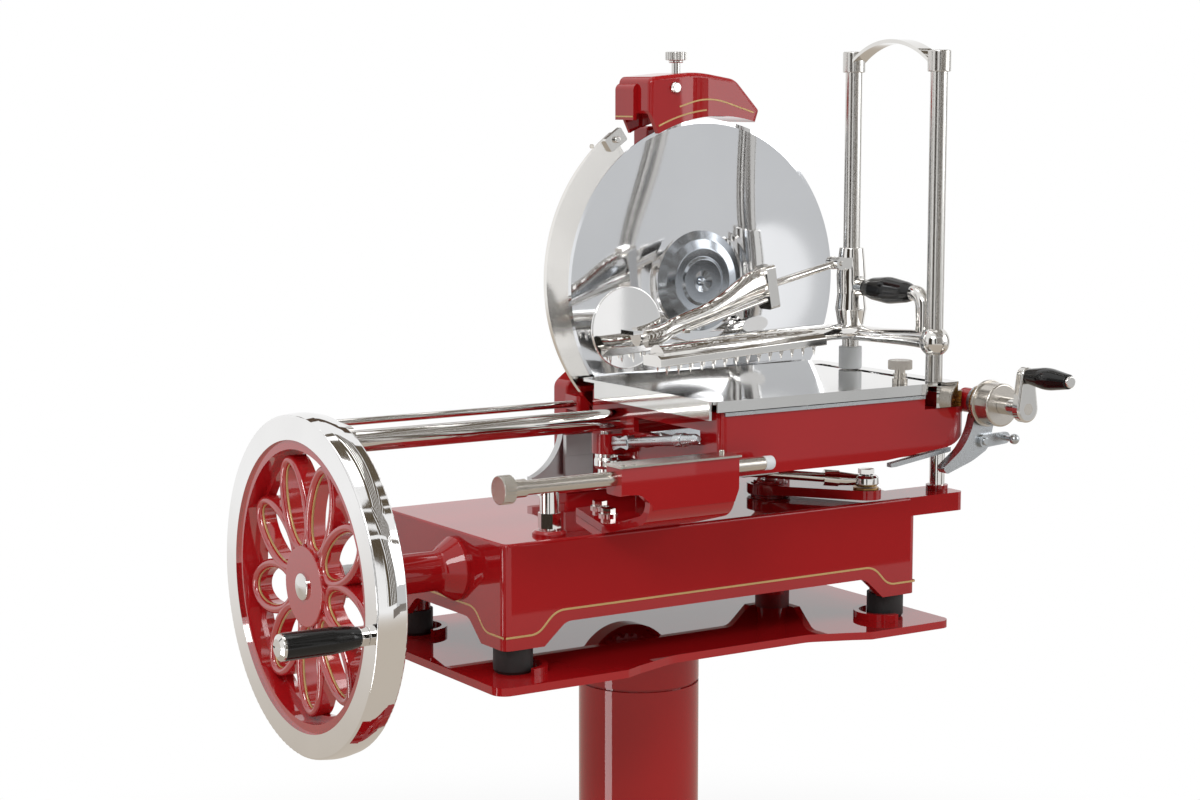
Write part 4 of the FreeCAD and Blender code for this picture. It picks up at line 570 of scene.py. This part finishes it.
# ---- sub-assemblies ------------------------------------------------------------------------
@dataclass
class BaseTrim:
    """Gold line that follows the base's arched skirt on its front and left faces."""

    length: float = 511.0
    width: float = 247.0
    leg_line: float = -91.0
    skirt_line: float = -70.0
    half_width: float = 1.1

    def line(self, span: float) -> List[Tuple[float, float]]:
        """The line on one face.

        Args:
            span: The face's length in millimetres.

        Returns:
            (along, height) points in millimetres.
        """
        corners = [(1.5, self.leg_line, 0), (38, self.leg_line, 9), (58, self.skirt_line, 11),
                   (span - 58, self.skirt_line, 11), (span - 38, self.leg_line, 9),
                   (span - 1.5, self.leg_line, 0)]
        return rounded(corners)

    def build(self) -> None:
        """Makes the lines on the four faces."""
        front = [at(u, -SKIN, v) for u, v in self.line(self.length)]
        back = [at(self.length - u, self.width + SKIN, v) for u, v in self.line(self.length)]
        left = [at(-SKIN, self.width - u, v) for u, v in self.line(self.width)]
        right = [at(self.length + SKIN, u, v) for u, v in self.line(self.width)]
        faces = (("front", front, (0, -1, 0)), ("back", back, (0, 1, 0)), ("left", left, (-1, 0, 0)),
                 ("right", right, (1, 0, 0)))
        for side, path, normal in faces:
            mesh = ribbon(f"base_line_{side}", [path], self.half_width * MM, Vector(normal), PROUD)
            piece_from(f"base_line_{side}", mesh, GOLD, "stand")


@dataclass
class WheelTrim:
    """Gold lines round the inside of the wheel's nine petals."""

    petals: int = 9
    axis_y: float = 96.0
    axis_z: float = -38.0
    face_x: float = -156.9
    centre: float = 79.5
    half_length: float = 39.4
    half_width: float = 18.5
    wall: float = 0.5
    depth: float = 2.2

    def build(self) -> None:
        """Makes the loops as one piece that turns with the wheel."""
        values = {"Count": self.petals, "Centre": self.centre * MM, "Long": self.half_length * MM,
                  "Wide": self.half_width * MM, "Wall": self.wall * MM, "Depth": self.depth * MM,
                  "First": -math.pi / 2}
        mesh = petal_loop_tree().bake(bpy.data.meshes.new("petal_start"), GOLD, values)
        turn = Matrix(((0, 0, 1, 0), (1, 0, 0, 0), (0, 1, 0, 0), (0, 0, 0, 1)))
        mesh.transform(Matrix.Translation(at(self.face_x, self.axis_y, self.axis_z)) @ turn)
        mesh.name = "petal_lines"
        piece_from("petal_lines", mesh, GOLD, "flywheel")


@dataclass
class CoverTrim:
    """Gold lines on the sharpener's cover: two on its front and one on the side box."""

    front_y: float = 163.0
    box_x: float = 271.0
    blade_x: float = 366.0
    blade_z: float = 224.0
    edge_radius: float = 186.2
    low_start: float = 287.5
    low_end: float = 349.0
    low_steps: int = 16
    box_z: float = 402.6
    half_width: float = 0.9

    def build(self) -> None:
        """Makes the three lines: the two front ones as one piece and the side box line as another."""
        low = []
        steps = self.low_steps
        for i in range(steps + 1):
            x = self.low_start + (self.low_end - self.low_start) * i / steps
            height = math.sqrt(self.edge_radius ** 2 - (x - self.blade_x) ** 2)
            low.append(at(x, self.front_y, self.blade_z + height))
        crest = rounded([(314, 413, 0), (352, 424, 24), (411, 406.5, 0)], 16)
        high = [at(x, self.front_y, z) for x, z in crest]
        mesh = ribbon("cover_lines", [low, high], self.half_width * MM, Vector((0, -1, 0)), PROUD)
        piece_from("cover_lines", mesh, GOLD, "stand")
        side = [at(self.box_x, y, self.box_z) for y in (221, 210, 199, 188)]
        mesh = ribbon("box_line", [side], self.half_width * MM, Vector((-1, 0, 0)), PROUD)
        piece_from("box_line", mesh, GOLD, "stand")


@dataclass
class RulerMarks:
    """Engraved marks on the thickness scale. The two screws that hold its plate come from SmallScrews."""

    top_z: float = 81.0
    first_x: float = 104.0
    line_y: float = -62.5
    count: int = 41
    step: float = 2.0

    def build(self) -> None:
        """Makes the marks."""
        values = {"Count": self.count, "Step": self.step * MM, "Width": 0.45 * MM, "Length": 4.0 * MM,
                  "Height": 0.12 * MM}
        marks = scale_mark_tree().bake(bpy.data.meshes.new("mark_start"), ENGRAVED, values)
        place = Matrix.Translation(at(self.first_x, self.line_y, self.top_z))
        marks.transform(place @ Matrix.Scale(-1, 4, (0, 1, 0)))
        marks.flip_normals()
        marks.name = "scale_marks"
        piece_from("scale_marks", marks, ENGRAVED, "stand")


@dataclass
class SmallScrews:
    """Slotted screw heads on the scale plate and on the ring guard."""

    def build(self) -> None:
        """Makes the heads as one piece for the stand."""
        places = [at(82, -83, 81.0), at(94, -83, 81.0), at(219, GUARD_FRONT, 372)]
        facings = [(0, 0, 1), (0, 0, 1), (0, -1, 0)]
        values = {"Radius": 2.4 * MM, "Height": 0.8 * MM, "Slot": 0.7 * MM}
        heads = screw_head_tree().bake(point_mesh("screw_points", places, facings), NICKEL, values)
        heads.name = "small_screws"
        piece_from("small_screws", heads, NICKEL, "stand")


MIDDLE: Triple = (0.0, 0.0, 1.0)
DARK: Colour = (0.045, 0.036, 0.028)

# Cards that only reflections see: name, centre, size, point faced, colour, strength.
CARDS: Tuple[Tuple[str, Triple, Tuple[float, float], Triple, Colour, float], ...] = (
    ("card_front_right", (3.0, -3.4, 0.9), (1.72, 3.0), (3.0, 0.0, 0.9), (0.62, 0.625, 0.63), 1.0),
    ("card_low_right", (2.3, -3.38, 0.0), (1.9, 0.7), (2.3, 0.0, 0.0), (0.22, 0.195, 0.175), 1.0),
    ("card_front_left", (-2.8, -1.2, 1.3), (1.5, 2.8), MIDDLE, DARK, 1.0),
    ("card_behind", (-2.0, -3.6, 1.5), (0.8, 2.8), MIDDLE, (0.02, 0.018, 0.015), 1.0),
    ("card_far_left", (-3.0, 1.4, 1.3), (0.35, 3.0), MIDDLE, DARK, 1.0),
    ("card_right", (3.6, -0.5, 1.2), (0.6, 3.0), MIDDLE, DARK, 1.0),
    ("card_back", (1.2, 3.0, 3.0), (2.6, 0.5), MIDDLE, (0.10, 0.07, 0.05), 1.0),
    ("strip_left", (-1.7, 0.08, 0.3), (0.44, 0.9), (0.0, 0.0, 0.5), (1.0, 1.0, 1.0), 5.0),
)

# Area lamps: name, place, aim, size, power in watts.
LAMPS: Tuple[Tuple[str, Triple, Triple, Tuple[float, float], float], ...] = (
    ("key", (-2.6, -2.4, 3.4), MIDDLE, (1.6, 1.2), 56.0),
    ("fill", (2.6, -2.2, 2.0), MIDDLE, (1.8, 1.8), 25.0),
    ("top", (0.2, 0.3, 3.6), MIDDLE, (2.0, 2.0), 28.0),
)


@dataclass
class Studio:
    """Floor, reflected cards, lamps, world and camera."""

    camera_at: Triple = (-1.3834, -2.0703, 1.3258)
    heading: float = 32.8
    dip: float = 7.3
    lens: float = 71.55
    eye_fade: Tuple[float, float] = (0.9, 2.2)
    metal_fade: Tuple[float, float] = (2.0, 6.0)
    metal_floor: Colour = (0.56, 0.50, 0.43)
    slats: int = 14
    beam_first: float = -0.3
    beam_step: float = 0.2
    beam_size: Tuple[float, float] = (0.15, 3.0)
    beam_y: float = -0.1
    beam_z: float = 3.25
    slat_first: float = -0.32
    slat_step: float = 0.15
    slat_width: float = 0.11
    slat_y: float = -1.62
    slat_split: float = 2.1
    slat_top: float = 3.3
    slat_turn: float = 0.85
    slat_left: Tuple[float, float] = (0.72, 2.0)
    slat_right: Tuple[float, float] = (1.95, 2.1)
    sensor: float = 36.0
    clip_end: float = 60.0
    beam_tone: Colour = (0.12, 0.095, 0.065)
    slat_tone: Colour = (0.10, 0.078, 0.052)
    world_diffuse: float = 0.45
    world_seen: float = 1.0

    def emission(self, name: str, colour: Colour, strength: float) -> bpy.types.Material:
        """Plain glowing material for a card that only reflections see.

        Args:
            name: The material's name.
            colour: Its colour.
            strength: How brightly it glows.

        Returns:
            The material.
        """
        material = bpy.data.materials.new(name)
        material.use_nodes = True
        tree = Tree(material.node_tree)
        tree.tree.nodes.clear()
        glow = tree.add("ShaderNodeEmission")
        glow.inputs["Color"].default_value = (*colour, 1.0)
        glow.inputs["Strength"].default_value = strength
        leave = tree.add("ShaderNodeOutputMaterial")
        tree.link(glow.outputs["Emission"], leave.inputs["Surface"])
        return material

    def card(self, name: str, centre: Triple, size: Tuple[float, float], facing: Triple, colour: Colour,
             strength: float) -> None:
        """Flat card seen only in reflections.

        Args:
            name: The card's name.
            centre: Its middle, in metres.
            size: Width and height in metres.
            facing: The point that it faces.
            colour: Its colour.
            strength: How brightly it glows.
        """
        mesh = bpy.data.meshes.new(name)
        half_w, half_h = size[0] / 2, size[1] / 2
        corners = [(-half_w, -half_h, 0), (half_w, -half_h, 0), (half_w, half_h, 0), (-half_w, half_h, 0)]
        mesh.from_pydata(corners, [], [(0, 1, 2, 3)])
        card = bpy.data.objects.new(name, mesh)
        bpy.context.scene.collection.objects.link(card)
        card.rotation_euler = (Vector(facing) - Vector(centre)).to_track_quat("Z", "Y").to_euler()
        card.location = centre
        mesh.materials.append(self.emission(name + "_glow", colour, strength))
        card.visible_camera = False
        card.visible_diffuse = False
        card.visible_shadow = False

    def floor(self) -> None:
        """White floor that keeps the object's shadow."""
        mesh = bpy.data.meshes.new("floor")
        reach = 14.0
        mesh.from_pydata([(-reach, -reach, 0), (reach, -reach, 0), (reach, reach, 0), (-reach, reach, 0)],
                         [], [(0, 1, 2, 3)])
        floor = bpy.data.objects.new("floor", mesh)
        bpy.context.scene.collection.objects.link(floor)
        mesh.materials.append(self.floor_material())

    def floor_material(self) -> bpy.types.Material:
        """Pale floor that fades to plain white for the eye and to a warm dark tone in metal."""
        material = bpy.data.materials.new("studio_floor")
        material.use_nodes = True
        tree = Tree(material.node_tree)
        shader = next(n for n in tree.tree.nodes if n.type == "BSDF_PRINCIPLED")
        leave = next(n for n in tree.tree.nodes if n.type == "OUTPUT_MATERIAL")
        shader.inputs["Base Color"].default_value = (0.88, 0.88, 0.88, 1.0)
        shader.inputs["Roughness"].default_value = 0.8
        coords = tree.add("ShaderNodeTexCoord")
        length = tree.add("ShaderNodeVectorMath", operation="LENGTH")
        tree.link(coords.outputs["Object"], length.inputs[0])
        fades = []
        for near, far in (self.eye_fade, self.metal_fade):
            fade = tree.add("ShaderNodeMapRange", interpolation_type="SMOOTHSTEP")
            fade.inputs["From Min"].default_value = near
            fade.inputs["From Max"].default_value = far
            tree.link(length.outputs["Value"], fade.inputs["Value"])
            fades.append(fade.outputs["Result"])
        path = tree.add("ShaderNodeLightPath")
        seen = tree.add("ShaderNodeMath", operation="MAXIMUM")
        tree.link(path.outputs["Is Camera Ray"], seen.inputs[0])
        tree.link(path.outputs["Is Transmission Ray"], seen.inputs[1])
        share = tree.add("ShaderNodeMath", operation="MULTIPLY")
        tree.link(seen.outputs["Value"], share.inputs[0])
        tree.link(fades[0], share.inputs[1])
        total = tree.add("ShaderNodeMath", operation="MAXIMUM")
        tree.link(share.outputs["Value"], total.inputs[0])
        tree.link(path.outputs["Is Glossy Ray"], total.inputs[1])
        tone = tree.add("ShaderNodeMix", data_type="RGBA")
        tone.inputs["A"].default_value = (*self.metal_floor, 1.0)
        tone.inputs["B"].default_value = (1.0, 1.0, 1.0, 1.0)
        tree.link(fades[1], tone.inputs["Factor"])
        chosen = tree.add("ShaderNodeMix", data_type="RGBA")
        chosen.inputs["A"].default_value = (1.0, 1.0, 1.0, 1.0)
        tree.link(path.outputs["Is Glossy Ray"], chosen.inputs["Factor"])
        tree.link(tone.outputs["Result"], chosen.inputs["B"])
        glow = tree.add("ShaderNodeEmission")
        tree.link(chosen.outputs["Result"], glow.inputs["Color"])
        mix = tree.add("ShaderNodeMixShader")
        tree.link(total.outputs["Value"], mix.inputs["Fac"])
        tree.link(shader.outputs["BSDF"], mix.inputs[1])
        tree.link(glow.outputs["Emission"], mix.inputs[2])
        tree.link(mix.outputs["Shader"], leave.inputs["Surface"])
        return material

    def world(self) -> None:
        """White for the eye and for reflections, soft and even for diffuse light."""
        world = bpy.data.worlds.new("studio_world")
        bpy.context.scene.world = world
        world.use_nodes = True
        tree = Tree(world.node_tree)
        tree.tree.nodes.clear()
        path = tree.add("ShaderNodeLightPath")
        seen = tree.add("ShaderNodeMath", operation="MAXIMUM")
        tree.link(path.outputs["Is Camera Ray"], seen.inputs[0])
        tree.link(path.outputs["Is Glossy Ray"], seen.inputs[1])
        clear = tree.add("ShaderNodeMath", operation="MAXIMUM")
        tree.link(seen.outputs["Value"], clear.inputs[0])
        tree.link(path.outputs["Is Transmission Ray"], clear.inputs[1])
        strength = tree.add("ShaderNodeMapRange")
        strength.inputs["To Min"].default_value = self.world_diffuse
        strength.inputs["To Max"].default_value = self.world_seen
        tree.link(clear.outputs["Value"], strength.inputs["Value"])
        back = tree.add("ShaderNodeBackground")
        back.inputs["Color"].default_value = (1.0, 1.0, 1.0, 1.0)
        tree.link(strength.outputs["Result"], back.inputs["Strength"])
        leave = tree.add("ShaderNodeOutputWorld")
        tree.link(back.outputs["Background"], leave.inputs["Surface"])

    def lamp(self, name: str, place: Triple, aim: Triple, size: Tuple[float, float], power: float) -> None:
        """Rectangular area lamp aimed at a point.

        Args:
            name: The lamp's name.
            place: Where it stands, in metres.
            aim: The point that it lights.
            size: Its two sides in metres.
            power: Watts.
        """
        data = bpy.data.lights.new(name, "AREA")
        data.shape = "RECTANGLE"
        data.size, data.size_y = size
        data.energy = power
        lamp = bpy.data.objects.new(name, data)
        bpy.context.scene.collection.objects.link(lamp)
        lamp.location = place
        lamp.rotation_euler = (Vector(aim) - Vector(place)).to_track_quat("-Z", "Y").to_euler()

    def camera(self) -> None:
        """Camera at the viewer's place."""
        data = bpy.data.cameras.new("view")
        data.lens = self.lens
        data.sensor_width = self.sensor
        data.clip_end = self.clip_end
        camera = bpy.data.objects.new("view", data)
        bpy.context.scene.collection.objects.link(camera)
        camera.location = self.camera_at
        yaw, pitch = math.radians(self.heading), math.radians(self.dip)
        forward = Vector((math.sin(yaw) * math.cos(pitch), math.cos(yaw) * math.cos(pitch), -math.sin(pitch)))
        camera.rotation_euler = forward.to_track_quat("-Z", "Y").to_euler()
        bpy.context.scene.camera = camera

    def beams(self) -> None:
        """Row of dark beams overhead, seen in the wheel's tread."""
        for i in range(self.slats):
            across = self.beam_first + self.beam_step * i
            self.card(f"beam_{i}", (across, self.beam_y, self.beam_z), self.beam_size,
                      (across, self.beam_y, 0.0), self.beam_tone, 1.0)

    def slat_wall(self) -> None:
        """Upright slats in front, in two rows; the ones on the right start higher."""
        for i in range(self.slats):
            across = self.slat_first + self.slat_step * i
            low, high = self.slat_left if across < self.slat_turn else self.slat_right
            for side, (bottom, top) in enumerate(((low, high), (self.slat_split, self.slat_top))):
                middle = 0.5 * (bottom + top)
                self.card(f"slat_{i}_{side}", (across, self.slat_y, middle), (self.slat_width, top - bottom),
                          (across, 0.0, middle), self.slat_tone, 1.0)

    def build(self) -> None:
        """Sets the whole studio up."""
        scene = bpy.context.scene
        scene.view_settings.view_transform = "Standard"
        self.floor()
        self.world()
        for name, place, aim, size, power in LAMPS:
            self.lamp(name, place, aim, size, power)
        for name, centre, size, facing, colour, strength in CARDS:
            self.card(name, centre, size, facing, colour, strength)
        self.beams()
        self.slat_wall()
        self.camera()


def dress_nodes(nodes: Dict[str, bpy.types.Object]) -> None:
    """Gives every CAD node its finish.

    Args:
        nodes: The frame's objects by node name.
    """
    for name, node in nodes.items():
        finish = NODE_FINISHES[name]
        if not node.data.materials:
            node.data.materials.append(None)
        for slot in node.material_slots:
            slot.material = finish.material()
        log.info("%s wears %s", name, finish.name)


def main() -> None:
    """Dresses the machine and builds the studio round it."""
    logging.basicConfig(level=logging.INFO, format="%(name)s: %(message)s")
    dress_nodes(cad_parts)
    for part in (BaseTrim(), WheelTrim(), CoverTrim(), RulerMarks(), SmallScrews()):
        log.info("building %s", type(part).__name__)
        part.build()
    Studio().build()


if __name__ == "__main__":
    main()
